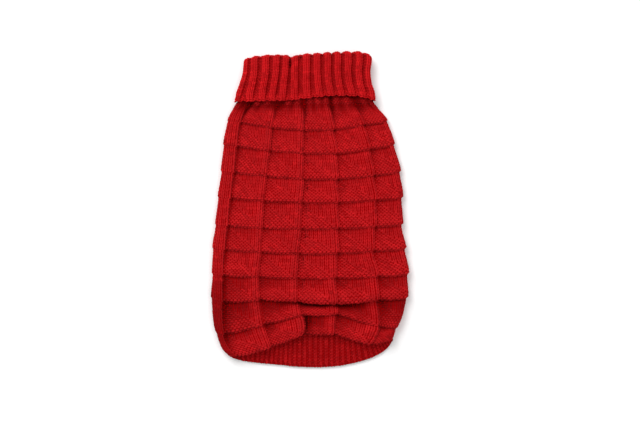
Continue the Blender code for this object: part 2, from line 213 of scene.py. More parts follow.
@dataclass(frozen=True)
class Strand:
    """A closed length of yarn, as the points it runs through and its thickness at each."""

    points: tuple[tuple[float, float, float], ...]
    radii: tuple[float, ...]

    def add_to(self, shape: bmesh.types.BMesh, yarn_map: bmesh.types.BMLayerItem, number: int) -> None:
        """Adds the strand to a mesh.

        A straight prism is cut into rings, and each ring is then set across the strand's path.

        Args:
            shape: the mesh it is added to.
            yarn_map: the UV layer that takes the turns round the yarn and the share along it.
            number: the strand's number in its loop, which moves its turns on by STRAND_STEP each.
        """
        spans = len(self.points) - 1
        for vert in shape.verts:
            vert.tag = True
        ends = bmesh.ops.create_cone(
            shape, cap_ends=True, segments=YARN_SIDES, radius1=1.0, radius2=1.0, depth=float(spans)
        )["verts"]
        edges = {edge for vert in ends for edge in vert.link_edges}
        lengthwise = [edge for edge in edges if edge.verts[0].co.z != edge.verts[1].co.z]
        bmesh.ops.subdivide_edges(shape, edges=lengthwise, cuts=spans - 1)
        rings = [vert for vert in shape.verts if not vert.tag]
        for face in {face for vert in rings for face in vert.link_faces}:
            middle = face.calc_center_median()
            facing = math.atan2(middle.y, middle.x)
            is_end = abs(face.normal.z) > 0.5
            for corner in face.loops:
                place = corner.vert.co
                turn = (math.atan2(place.y, place.x) - facing + math.pi) % math.tau - math.pi
                turns = END_WIDTH * place.x if is_end else (facing + turn) / math.tau
                along = place.z / spans * (END_REACH + END_DEPTH * place.y if is_end else 1.0)
                corner[yarn_map].uv = (turns + number * STRAND_STEP, along + 0.5)
        path = [Vector(point) for point in self.points]
        for vert in rings:
            station = round(vert.co.z + spans / 2.0)
            ahead = path[min(station + 1, spans)] - path[max(station - 1, 0)]
            side = ahead.cross(Vector((0.0, 0.0, 1.0))).normalized()
            lift = side.cross(ahead).normalized()
            vert.co = path[station] + (side * vert.co.x + lift * vert.co.y) * self.radii[station]


@dataclass(frozen=True)
class Loop:
    """The yarn of one stitch: its strands, and how it is turned."""

    kind: Kind
    strands: tuple[Strand, ...]
    turn: float = 0.0

    def build(self) -> bpy.types.Object:
        """Makes the loop as a mesh object, in millimetres, for Geometry Nodes to lay.

        Returns:
            The loop's object, which is in no collection.
        """
        shape = bmesh.new()
        yarn_map = shape.loops.layers.uv.new("yarn")
        for number, strand in enumerate(self.strands):
            strand.add_to(shape, yarn_map, number)
        for face in shape.faces:
            face.smooth = True
        bmesh.ops.rotate(shape, verts=shape.verts, matrix=Matrix.Rotation(self.turn, 3, "Z"))
        bmesh.ops.recalc_face_normals(shape, faces=shape.faces)
        mesh = bpy.data.meshes.new(self.kind.value)
        shape.to_mesh(mesh)
        shape.free()
        return bpy.data.objects.new(self.kind.value, mesh)


# A knit stitch shows the two legs of a V. A purl stitch shows the head of its own loop, and the foot
# of the next one between the wales.
LEG_RADII = (0.9, 1.0, 1.0, 0.9)
LEFT_LEG = Strand(
    ((-0.5, -2.6, 0.1), (-0.8, -1.2, 0.6), (-1.12, 0.6, 0.65), (-1.3, 2.1, 0.25)),
    LEG_RADII,
)
RIGHT_LEG = Strand(
    ((0.5, -2.6, 0.1), (0.8, -1.2, 0.6), (1.12, 0.6, 0.65), (1.3, 2.1, 0.25)),
    LEG_RADII,
)
ARC_RADII = (0.95, 1.2, 1.2, 0.95)
HEAD_ARC = Strand(
    ((-1.95, -0.05, 0.05), (-0.8, 0.8, 0.6), (0.8, 0.8, 0.6), (1.95, -0.05, 0.05)),
    ARC_RADII,
)
FOOT_ARC = Strand(
    ((0.25, -0.25, 0.0), (1.4, -1.05, 0.6), (3.0, -1.05, 0.6), (4.15, -0.25, 0.0)),
    ARC_RADII,
)
LOOPS = (
    Loop(Kind.KNIT, (LEFT_LEG, RIGHT_LEG)),
    Loop(Kind.PURL, (HEAD_ARC, FOOT_ARC)),
    Loop(Kind.CAST_OFF, (LEFT_LEG, RIGHT_LEG), math.pi / 2),
)


@dataclass(frozen=True)
class YarnFinish:
    """Thick acrylic yarn: brushed short fibres that scatter light, so matte with no highlight.

    Shade is painted into the colour. The tops of the loops, which catch the light, take the lit crown
    colour. Where a loop tucks under the next, out of the light, the shade colour is painted, deeper and
    more saturated, as light bouncing there from red to red would leave it.
    """

    name: str
    # The lit colour of the loops' tops, and the painted shade colour where they tuck under.
    crown: str
    shade_colour: str
    roughness: float = 0.95
    gloss: float = 0.02
    sheen: float = 0.012
    sheen_roughness: float = 0.6
    sheen_tint: str = "ff8a80"
    # Heights at which the painted shade colour and the lit crown colour are reached.
    shade_height: float = -1.6
    crown_height: float = 2.0
    mottle_mm: float = 25.0
    mottle_share: float = 0.16
    ply_turns: float = 2.0
    plies: float = 3.0
    ply_share: float = 0.35
    fibre_mm: float = 0.8
    relief_mm: float = 0.25
    relief_strength: float = 0.6

    def colour(self, tree: bpy.types.NodeTree, place: bpy.types.NodeSocket) -> bpy.types.NodeSocket:
        """Paints shade into the yarn's colour by how high it lies, less the piece's painted shade depth, and
        colours it by its stitch and by a slow mottle of the dye.

        Args:
            tree: the material's node tree.
            place: the place on the piece.

        Returns:
            The colour's output.
        """
        height = add_node(tree, "ShaderNodeAttribute", attribute_name="height")
        tone = add_node(tree, "ShaderNodeAttribute", attribute_name="tone")
        mottle = add_node(
            tree,
            "ShaderNodeTexNoise",
            {"Scale": 1.0 / (self.mottle_mm * MM), "Detail": 2.0},
            {"Vector": place},
        )
        # Painted shade: low yarn takes the shade colour, high yarn the lit crown colour.
        depth = add_node(
            tree,
            "ShaderNodeMapRange",
            {"From Min": self.shade_height, "From Max": self.crown_height},
            {"Value": height.outputs["Fac"]},
            interpolation_type="SMOOTHSTEP",
        )
        colour = add_node(
            tree,
            "ShaderNodeMix",
            {"A": linear(self.shade_colour), "B": linear(self.crown)},
            {"Factor": depth.outputs["Result"]},
            data_type="RGBA",
        )
        wear = add_node(
            tree,
            "ShaderNodeMath",
            {1: self.mottle_share, 2: 1.0 - self.mottle_share / 2.0},
            {0: mottle.outputs["Fac"]},
            operation="MULTIPLY_ADD",
        )
        value = add_node(
            tree, "ShaderNodeMath", links={0: wear.outputs[0], 1: tone.outputs["Fac"]}, operation="MULTIPLY"
        )
        shaded = add_node(
            tree,
            "ShaderNodeHueSaturation",
            links={"Value": value.outputs[0], "Color": colour.outputs["Result"]},
        )
        return shaded.outputs["Color"]

    def relief(self, tree: bpy.types.NodeTree, place: bpy.types.NodeSocket) -> bpy.types.NodeSocket:
        """Winds the plies round the yarn and roughens them with short fibres.

        Args:
            tree: the material's node tree.
            place: the place on the piece.

        Returns:
            The normal's output.
        """
        yarn_map = add_node(tree, "ShaderNodeUVMap", uv_map="yarn")
        ways = add_node(tree, "ShaderNodeSeparateXYZ", links={"Vector": yarn_map.outputs["UV"]})
        along = add_node(
            tree, "ShaderNodeMath", {1: self.ply_turns}, {0: ways.outputs["Y"]}, operation="MULTIPLY"
        )
        twist = add_node(
            tree,
            "ShaderNodeMath",
            {1: self.plies},
            {0: ways.outputs["X"], 2: along.outputs[0]},
            operation="MULTIPLY_ADD",
        )
        turn = add_node(tree, "ShaderNodeMath", {1: math.tau}, {0: twist.outputs[0]}, operation="MULTIPLY")
        ply = add_node(tree, "ShaderNodeMath", links={0: turn.outputs[0]}, operation="SINE")
        fibre = add_node(
            tree,
            "ShaderNodeTexNoise",
            {"Scale": 1.0 / (self.fibre_mm * MM), "Detail": 3.0},
            {"Vector": place},
        )
        relief = add_node(
            tree,
            "ShaderNodeMath",
            {1: self.ply_share},
            {0: ply.outputs[0], 2: fibre.outputs["Fac"]},
            operation="MULTIPLY_ADD",
        )
        bump = add_node(
            tree,
            "ShaderNodeBump",
            {"Strength": self.relief_strength, "Distance": self.relief_mm * MM},
            {"Height": relief.outputs[0]},
        )
        return bump.outputs["Normal"]

    def material(self) -> bpy.types.Material:
        """Builds the yarn's node material.

        Returns:
            The new material.
        """
        material = bpy.data.materials.new(self.name)
        material.use_nodes = True
        tree = material.node_tree
        surface = tree.nodes["Principled BSDF"]
        surface.inputs["Roughness"].default_value = self.roughness
        surface.inputs["Specular IOR Level"].default_value = self.gloss
        surface.inputs["Sheen Weight"].default_value = self.sheen
        surface.inputs["Sheen Roughness"].default_value = self.sheen_roughness
        surface.inputs["Sheen Tint"].default_value = linear(self.sheen_tint)
        place = add_node(tree, "ShaderNodeTexCoord").outputs["Object"]
        tree.links.new(self.colour(tree, place), surface.inputs["Base Color"])
        tree.links.new(self.relief(tree, place), surface.inputs["Normal"])
        return material


@dataclass(frozen=True)
class FloorFinish:
    """Matte white paper sweep: even and nearly white, with no gloss."""

    name: str = "paper_sweep"
    colour: str = "fbfbfb"
    roughness: float = 0.95
    gloss: float = 0.1
    tooth_mm: float = 2.0
    tooth_depth_mm: float = 0.1
    tooth_strength: float = 0.05

    def material(self) -> bpy.types.Material:
        """Builds the floor's material, with a faint tooth in the paper.

        Returns:
            The new material.
        """
        material = bpy.data.materials.new(self.name)
        material.use_nodes = True
        tree = material.node_tree
        surface = tree.nodes["Principled BSDF"]
        surface.inputs["Base Color"].default_value = linear(self.colour)
        surface.inputs["Roughness"].default_value = self.roughness
        surface.inputs["Specular IOR Level"].default_value = self.gloss
        place = add_node(tree, "ShaderNodeTexCoord")
        tooth = add_node(
            tree,
            "ShaderNodeTexNoise",
            {"Scale": 1.0 / (self.tooth_mm * MM)},
            {"Vector": place.outputs["Object"]},
        )
        bump = add_node(
            tree,
            "ShaderNodeBump",
            {"Strength": self.tooth_strength, "Distance": self.tooth_depth_mm * MM},
            {"Height": tooth.outputs["Fac"]},
        )
        tree.links.new(bump.outputs["Normal"], surface.inputs["Normal"])
        return material


FINISHES = (
    # Tiles and plain belly: open knit, its crown painted a little deeper than the ribs' as painted shade,
    # which the eye reads as soft.
    YarnFinish("body_knit", crown="b0181c", shade_colour="4c0000"),
    # The same yarn packed close in ribs: its crown painted brighter, as painted light, over furrows that
    # stay dark.
    YarnFinish("rib_knit", crown="bb181c", shade_colour="4c0000"),
    # The back of the cloth: flat dark red between the loops, painted as the shade in the gaps of the knit,
    # so that no gap in the knit looks white.
    YarnFinish("cloth_back", crown="8a0002", shade_colour="8a0002", sheen=0.0),
)


@dataclass
class Workroom:
    """What every piece is made with: the loops of yarn and the yarns."""

    loops: dict[Kind, bpy.types.Object] = field(init=False)
    yarns: dict[str, bpy.types.Material] = field(init=False)

    def __post_init__(self) -> None:
        """Makes the loops and the yarns."""
        self.loops = {loop.kind: loop.build() for loop in LOOPS}
        self.yarns = {finish.name: finish.material() for finish in FINISHES}

    def clear(self) -> None:
        """Removes the loops once every piece is knitted."""
        for loop in self.loops.values():
            bpy.data.objects.remove(loop, do_unlink=True)


@dataclass
class KnitPiece:
    """A piece of the sweater: its chart, its form, its shell and its stitches."""

    name: str
    columns: int
    rows: int
    slot: str
    flat_size: tuple[float, float]
    rests_on: tuple[str, ...] = ()
    shell_columns: int = 60
    shell_rows: int = 60
    shell_lift: float = 1.05
    shell_wall: float = 0.8
    closed: bool = False
    seed: int = 1
    sections: int = 1

    def surface(self, wale: Array, course: Array) -> Array:
        """The place of the yarn's middle line, for each wale and course.

        Args:
            wale: stitches across the piece, from its left edge.
            course: stitches down the piece, from its upper edge.

        Returns:
            A row of X, Y and Z for each place, in millimetres.
        """
        raise NotImplementedError

    def kind_at(self, column: int, row: int) -> Kind | None:
        """The kind of the stitch in this column and row, or None where there is none.

        Args:
            column: stitches across, from 0.
            row: stitches down, from 0.

        Returns:
            The kind of stitch.
        """
        raise NotImplementedError

    def shade_depth(self, wale: Array, course: Array) -> Array:
        """Painted shade: millimetres taken off the yarn's height where its colour is read, as if it lay down
        between the folds beside it, out of the light.

        Args:
            wale: stitches across.
            course: stitches down.

        Returns:
            A painted shade depth for each place, which darkens the yarn's colour.
        """
        return np.zeros(len(wale))

    def cut_at(self, across: Array, down: Array) -> tuple[Array, Array]:
        """Wale and course of a place on the shell, by its shares of the width and the length."""
        return across * self.columns, down * self.rows

    def bent(self, wale: Array, course: Array, height: Array) -> Array:
        """Places that stand `height` out from the surface.

        Args:
            wale: stitches across.
            course: stitches down.
            height: millimetres out from the yarn's middle line.

        Returns:
            A row of X, Y and Z for each place. Nothing goes below what the sweater lies on.
        """
        right = self.surface(wale + FACING_STEP, course) - self.surface(wale - FACING_STEP, course)
        up = self.surface(wale, course - FACING_STEP) - self.surface(wale, course + FACING_STEP)
        outward = np.cross(right, up)
        outward /= np.maximum(np.linalg.norm(outward, axis=1), NEARLY_ZERO)[:, None]
        places = self.surface(wale, course) + outward * height[:, None]
        places[:, 2] = np.maximum(places[:, 2], LOWEST)
        return places

    def chart(self, kind: Kind, section: int) -> bpy.types.Object | None:
        """Makes the flat chart of one kind of stitch, a point for each, in millimetres.

        Args:
            kind: the kind of stitch.
            section: the part of the rows, counted from the top.

        Returns:
            A mesh of points, each with its own tone, turn and size, or None if there are none.
        """
        shape = bmesh.new()
        bmesh.ops.create_grid(shape, x_segments=self.columns - 1, y_segments=self.rows - 1, size=1.0)
        unused = []
        for point in shape.verts:
            column = round((point.co.x + 1.0) / 2.0 * (self.columns - 1))
            row = round((1.0 - point.co.y) / 2.0 * (self.rows - 1))
            point.co = ((column + 0.5) * WALE, -(row + 0.5) * COURSE, 0.0)
            if row * self.sections // self.rows != section or self.kind_at(column, row) is not kind:
                unused.append(point)
        bmesh.ops.delete(shape, geom=unused, context="VERTS")
        points = bpy.data.meshes.new(f"{self.name}_{kind.value}_chart")
        shape.to_mesh(points)
        shape.free()
        count = len(points.vertices)
        if not count:
            return None
        draw = np.random.default_rng((self.seed, section))
        for label, middle, spread in STITCH_SPREADS:
            values = draw.normal(middle, spread, count)
            points.attributes.new(label, "FLOAT", "POINT").data.foreach_set("value", values)
        return bpy.data.objects.new(points.name, points)

    def lay(self, points: bpy.types.Object, loop: bpy.types.Object) -> bpy.types.Mesh:
        """Lays a loop of yarn on every point of a chart.

        Args:
            points: the chart's points.
            loop: the loop of yarn.

        Returns:
            All the loops as one flat mesh.
        """
        tree = bpy.data.node_groups.new("lay_loops", "GeometryNodeTree")
        tree.interface.new_socket("Geometry", in_out="INPUT", socket_type="NodeSocketGeometry")
        tree.interface.new_socket("Geometry", in_out="OUTPUT", socket_type="NodeSocketGeometry")
        chart = add_node(tree, "NodeGroupInput")
        yarn = add_node(tree, "GeometryNodeObjectInfo", {"Object": loop})
        turn = add_node(tree, "GeometryNodeInputNamedAttribute", {"Name": "turn"}, data_type="FLOAT")
        size = add_node(tree, "GeometryNodeInputNamedAttribute", {"Name": "size"}, data_type="FLOAT")
        turned = add_node(tree, "ShaderNodeCombineXYZ", links={"Z": turn.outputs["Attribute"]})
        laid = add_node(
            tree,
            "GeometryNodeInstanceOnPoints",
            links={
                "Points": chart.outputs["Geometry"],
                "Instance": yarn.outputs["Geometry"],
                "Rotation": turned.outputs["Vector"],
                "Scale": size.outputs["Attribute"],
            },
        )
        real = add_node(tree, "GeometryNodeRealizeInstances", links={"Geometry": laid.outputs["Instances"]})
        add_node(tree, "NodeGroupOutput", links={"Geometry": real.outputs["Geometry"]})
        bpy.context.scene.collection.objects.link(points)
        points.modifiers.new("lay_loops", "NODES").node_group = tree
        seen = bpy.context.evaluated_depsgraph_get()
        mesh = bpy.data.meshes.new_from_object(
            points.evaluated_get(seen), preserve_all_data_layers=True, depsgraph=seen
        )
        bpy.data.objects.remove(points, do_unlink=True)
        bpy.data.node_groups.remove(tree)
        return mesh

    def spread(self, mesh: bpy.types.Mesh, count: int) -> None:
        """Gives each loop of yarn a cell of its own on the OFBake map, for baking through.

        Args:
            mesh: the laid loops, one after the other.
            count: how many loops it holds.
        """
        yarn = np.empty(len(mesh.loops) * 2, np.float32)
        mesh.uv_layers["yarn"].data.foreach_get("uv", yarn)
        turns, along = yarn.reshape(-1, 2).T
        strand = np.round(turns / STRAND_STEP)
        cell = np.arange(len(mesh.loops)) // (len(mesh.loops) // count)
        side = math.ceil(math.sqrt(count))
        right = (0.5 + (turns - strand * STRAND_STEP) / CELL_TURNS + strand) / 2.0
        up = 0.5 + (along - 0.5) / CELL_LENGTHS
        places = np.column_stack([cell % side + right, cell // side + up]) / side
        mesh.uv_layers.new(name="OFBake").data.foreach_set("uv", places.astype(np.float32).ravel())

    def stitches(self, room: Workroom, kind: Kind, section: int) -> bpy.types.Object | None:
        """Knits every stitch of one kind and bends them over the piece's form.

        Args:
            room: the loops and the yarns.
            kind: the kind of stitch.
            section: the part of the rows, counted from the top.

        Returns:
            The stitches as one object, or None if the section has none of that kind.
        """
        points = self.chart(kind, section)
        if points is None:
            return None
        count = len(points.data.vertices)
        mesh = self.lay(points, room.loops[kind])
        flat = np.empty(len(mesh.vertices) * 3, np.float32)
        mesh.vertices.foreach_get("co", flat)
        flat = flat.reshape(-1, 3).astype(float)
        wale = flat[:, 0] / WALE
        course = -flat[:, 1] / COURSE
        places = self.bent(wale, course, flat[:, 2]) * MM
        mesh.vertices.foreach_set("co", places.astype(np.float32).ravel())
        # The painted shade depth is taken off each loop's own height, which sets how much shade is painted
        # into its colour.
        height = (flat[:, 2] - self.shade_depth(wale, course)).astype(np.float32)
        mesh.attributes.new("height", "FLOAT", "POINT").data.foreach_set("value", height)
        self.spread(mesh, count)
        mesh.materials.clear()
        mesh.materials.append(room.yarns[self.slot])
        mesh.update()
        return self.dress(f"{self.name}_{kind.value}_stitches_{section + 1}", mesh)

    def shell_shape(self) -> bmesh.types.BMesh:
        """Bends a sheet over the piece's form, and joins its ends where the piece is a ring.

        Returns:
            The sheet, with no thickness yet.
        """
        shape = bmesh.new()
        bmesh.ops.create_grid(shape, x_segments=self.shell_columns, y_segments=self.shell_rows, size=1.0)
        flat = np.array([corner.co[:] for corner in shape.verts])
        wale, course = self.cut_at((flat[:, 0] + 1.0) / 2.0, (1.0 - flat[:, 1]) / 2.0)
        places = self.bent(wale, course, np.full(len(wale), self.shell_lift))
        places[:, 2] = np.maximum(places[:, 2], self.shell_wall)
        places *= MM
        for corner, place in zip(shape.verts, places):
            corner.co = place
        if self.closed:
            bmesh.ops.remove_doubles(shape, verts=shape.verts, dist=JOIN_WITHIN * MM)
        return shape

    def shell(self, room: Workroom) -> bpy.types.Object:
        """Makes the cloth behind the loops, a thin wall on the piece's form, in a dark red painted as the
        shade in the gaps.

        Args:
            room: the loops and the yarns.

        Returns:
            The shell's object.
        """
        shape = self.shell_shape()
        for face in shape.faces:
            face.smooth = True
        mesh = bpy.data.meshes.new(f"{self.name}_cloth")
        shape.to_mesh(mesh)
        shape.free()
        even_tone = np.ones(len(mesh.vertices), np.float32)
        mesh.attributes.new("tone", "FLOAT", "POINT").data.foreach_set("value", even_tone)
        # The back of the cloth is painted dark red, as the shade between the loops.
        mesh.materials.append(room.yarns["cloth_back"])
        piece = self.dress(mesh.name, mesh)
        wall = piece.modifiers.new("wall", "SOLIDIFY")
        wall.thickness = self.shell_wall * MM
        wall.offset = -1.0
        wall.use_even_offset = False
        return piece

    def dress(self, name: str, mesh: bpy.types.Mesh) -> bpy.types.Object:
        """Makes an object of a mesh that moves with the sweater.

        Args:
            name: the object's name.
            mesh: its finished mesh.

        Returns:
            The object.
        """
        piece = bpy.data.objects.new(name, mesh)
        bpy.context.scene.collection.objects.link(piece)
        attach(piece, "root")
        return piece

    def build(self, room: Workroom) -> list[bpy.types.Object]:
        """Makes the shell and the stitches, in place of the plain solid.

        Args:
            room: the loops and the yarns.

        Returns:
            The finished objects, the shell first.
        """
        shell = self.shell(room)
        laid = [self.stitches(room, kind, section) for kind in Kind for section in range(self.sections)]
        loops = [piece for piece in laid if piece is not None]
        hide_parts(self.name)
        return [shell, *loops]


@dataclass(frozen=True)
class CourseLine:
    """A line between two rows of tiles: X and Y at the left fold, ridges a to e and the right fold."""

    course: float
    places: tuple[float, ...]
    heights: tuple[float, ...]


COURSE_LINES = (
    CourseLine(-4.5, (-77.5, -65, -38, -9, 23, 49, 69.5), (134, 134, 134, 134, 134, 134, 134)),
    CourseLine(-0.9, (-83, -69.5, -39, -8.5, 25, 53, 72.5), (120.3, 120.5, 121, 122, 122, 122, 121.4)),
    CourseLine(0, (-85.2, -71.5, -40, -8.5, 25.5, 54, 75), (117.2, 117.4, 118, 118.8, 118.8, 118.6, 118.2)),
    CourseLine(8, (-92.8, -79, -44, -8.5, 28.5, 62.5, 87.5), (100, 99, 93, 90, 90.5, 96, 100)),
    CourseLine(16, (-97.4, -83, -46.5, -8.5, 32, 69, 95.5), (73, 72, 67, 64, 63.5, 68.5, 73.5)),
    CourseLine(24, (-100, -86.5, -50, -8.5, 32.5, 73.5, 102.2), (43.5, 42.5, 38.5, 35, 35, 39, 43)),
    CourseLine(32, (-103.5, -90.5, -53, -10, 33.5, 76.5, 104.5), (14, 13.5, 10.5, 8.5, 8.5, 11.5, 14)),
    CourseLine(40, (-106.5, -94, -55, -11, 33.5, 75, 104.5), (-17, -17.5, -20, -21, -20.5, -18.5, -16.5)),
    CourseLine(48, (-109.5, -97, -56, -14, 33, 73, 108), (-43.5, -44.5, -47, -48.5, -48.5, -46, -43.5)),
    CourseLine(56, (-110, -99.5, -59, -15.5, 31, 78.5, 111), (-72, -73.5, -75, -76.5, -76.5, -74.5, -72)),
    CourseLine(64, (-111, -99.5, -58, -14.5, 31.5, 78.5, 110), (-99, -104, -101, -101, -103.5, -101, -99)),
    CourseLine(
        68,
        (-109.6, -99.8, -56, -13, 31.8, 79.2, 106),
        (-117.5, -121.5, -114, -109, -110, -115.5, -115),
    ),
    CourseLine(72, (-106, -99, -53.5, -11.5, 32, 79.5, 98.5), (-137, -141, -129, -118, -117, -131, -133)),
    CourseLine(77, (-100.5, -93.5, -49, -11, 31, 75, 97), (-154, -157, -145, -131, -131, -144, -139)),
    CourseLine(80, (-91, -85, -46, -10.5, 31, 71, 94.5), (-163.5, -165, -154, -139, -139.5, -151, -144.5)),
)

# Wales of the folds and ridges, the size of a tile, and the courses of the tuck and of the hem seam.
RIDGE_WALES = (0.0, 4.0, 14.0, 24.0, 34.0, 44.0, 51.5)
TILE_WALES = 10
TILE_COURSES = 8
TUCK_COURSE = 64.0
HEM_COURSE = 80.0

# Where the plain band at the right fold starts, and the course it ends at.
SIDE_BAND_WALE = 49.5
SIDE_BAND_COURSE = 40.0

# How far the back reaches in underneath, and the courses over which it narrows below the tuck.
FLAP_WALES = 7.0
FLAP_WIDTH = 28.0
FLAP_TIP_WIDTH = 15.0
LEFT_TAPER_COURSES = 16.0
RIGHT_TAPER_COURSES = 8.0

# Where the body rises to lie inside the collar, and by how much.
LIFT_START_Y = 108.0
LIFT_END_Y = 120.0
NECK_LIFT = 2.4


@dataclass(frozen=True)
class Profile:
    """A line through known values, by the share of the way over one tile."""

    shares: tuple[float, ...]
    values: tuple[float, ...]

    def at(self, share: Array | float) -> Array:
        """The profile's value at each share of the way."""
        return np.interp(share, self.shares, self.values)


# A tile climbs to a ridge at its right edge and a step at its lower edge, and drops at once beyond.
RIDGE = Profile(
    (0.0, 0.07, 0.15, 0.35, 0.62, 0.76, 0.85, 0.92, 1.0),
    (0.2, 0.0, 0.12, 0.34, 0.42, 0.7, 1.0, 0.95, 0.2),
)
SHINGLE = Profile(
    (0.0, 0.08, 0.2, 0.5, 0.78, 0.9, 0.95, 1.0),
    (0.1, 0.0, 0.3, 0.56, 0.92, 1.0, 0.86, 0.1),
)

# Each raised edge leans over its neighbour, each row of tiles is set a little aside from the next, and
# the side folds step out with each row.
LEAN = Profile((0.0, 0.04, 0.3, 0.62, 0.96, 1.0), (0.25, -0.5, 0.0, 0.0, 1.0, 0.25))
STAGGER = Profile((0.0, 0.04, 0.96, 1.0), (0.0, -0.5, 0.5, 0.0))
SIDE_STEP = Profile((0.0, 0.3, 0.93, 1.0), (0.0, 0.25, 1.0, 0.0))


@dataclass(frozen=True)
class Fold:
    """A large fold or puff of the back: its middle, its reach both ways and its rise."""

    wale: float
    course: float
    wale_reach: float
    course_reach: float
    rise: float


# The tuck over the tail hem with the puff above it and the hollow below, the smaller folds under it,
# and the groove beside the left fold's band.
FOLDS = (
    Fold(31.0, 62.3, 9.5, 1.8, 7.0),
    Fold(19.0, 61.8, 6.0, 1.8, 2.0),
    Fold(46.0, 61.8, 5.0, 1.8, 1.8),
    Fold(30.0, 65.5, 8.5, 2.0, -6.0),
    Fold(29.0, 70.4, 6.0, 1.6, 1.8),
    Fold(20.8, 76.0, 4.4, 3.4, 3.8),
    Fold(26.4, 75.6, 1.6, 3.6, -3.0),
    Fold(41.0, 76.0, 5.0, 3.0, 2.4),
    Fold(48.5, 75.5, 2.6, 2.4, 2.6),
    Fold(9.0, 77.0, 7.0, 3.6, 2.2),
    Fold(4.5, 42.0, 0.8, 60.0, -1.8),
)


@dataclass(frozen=True)
class Overlap:
    """A stretch where a tile's raised edge lies over its neighbour, and how far over."""

    wale: float
    course: float
    wale_reach: float
    course_reach: float
    right: float
    down: float


# The tuck lies over the row below it, and two tile edges under it lie over to the right.
OVERLAPS = (
    Overlap(30.5, 64.0, 9.0, 4.5, 0.0, 2.4),
    Overlap(24.0, 76.0, 5.0, 3.4, 4.2, 0.0),
    Overlap(44.0, 75.0, 4.0, 3.6, 2.4, 0.0),
)


def neck_lift(y: Array) -> Array:
    """How far the body rises near the neck, to lie inside the turned-down collar."""
    return NECK_LIFT * ease((y - LIFT_START_Y) / (LIFT_END_Y - LIFT_START_Y))


def flap_width(course: Array, at_left: Array) -> Array:
    """How far the back reaches in underneath, from its side fold."""
    taper = np.where(at_left, LEFT_TAPER_COURSES, RIGHT_TAPER_COURSES)
    return blend(FLAP_WIDTH, FLAP_TIP_WIDTH, ease((course - TUCK_COURSE) / taper))


def side_folds(course: Array) -> tuple[Array, Array]:
    """Reads where the ridges and folds lie along a course.

    Args:
        course: courses down the back from the collar.

    Returns:
        X and Y of every ridge and fold, a row for each course.
    """
    courses = [line.course for line in COURSE_LINES]
    places = smooth_rows(course, courses, [line.places for line in COURSE_LINES])
    heights = smooth_rows(course, courses, [line.heights for line in COURSE_LINES])
    return places, heights


def tile_across(wale: Array | float) -> Array | float:
    """How far across its tile a wale is, from 0 to 1."""
    return (wale - RIDGE_WALES[1]) / TILE_WALES % 1.0


def tile_down(course: Array | float) -> Array | float:
    """How far down its tile a course is, from 0 to 1."""
    return course / TILE_COURSES % 1.0


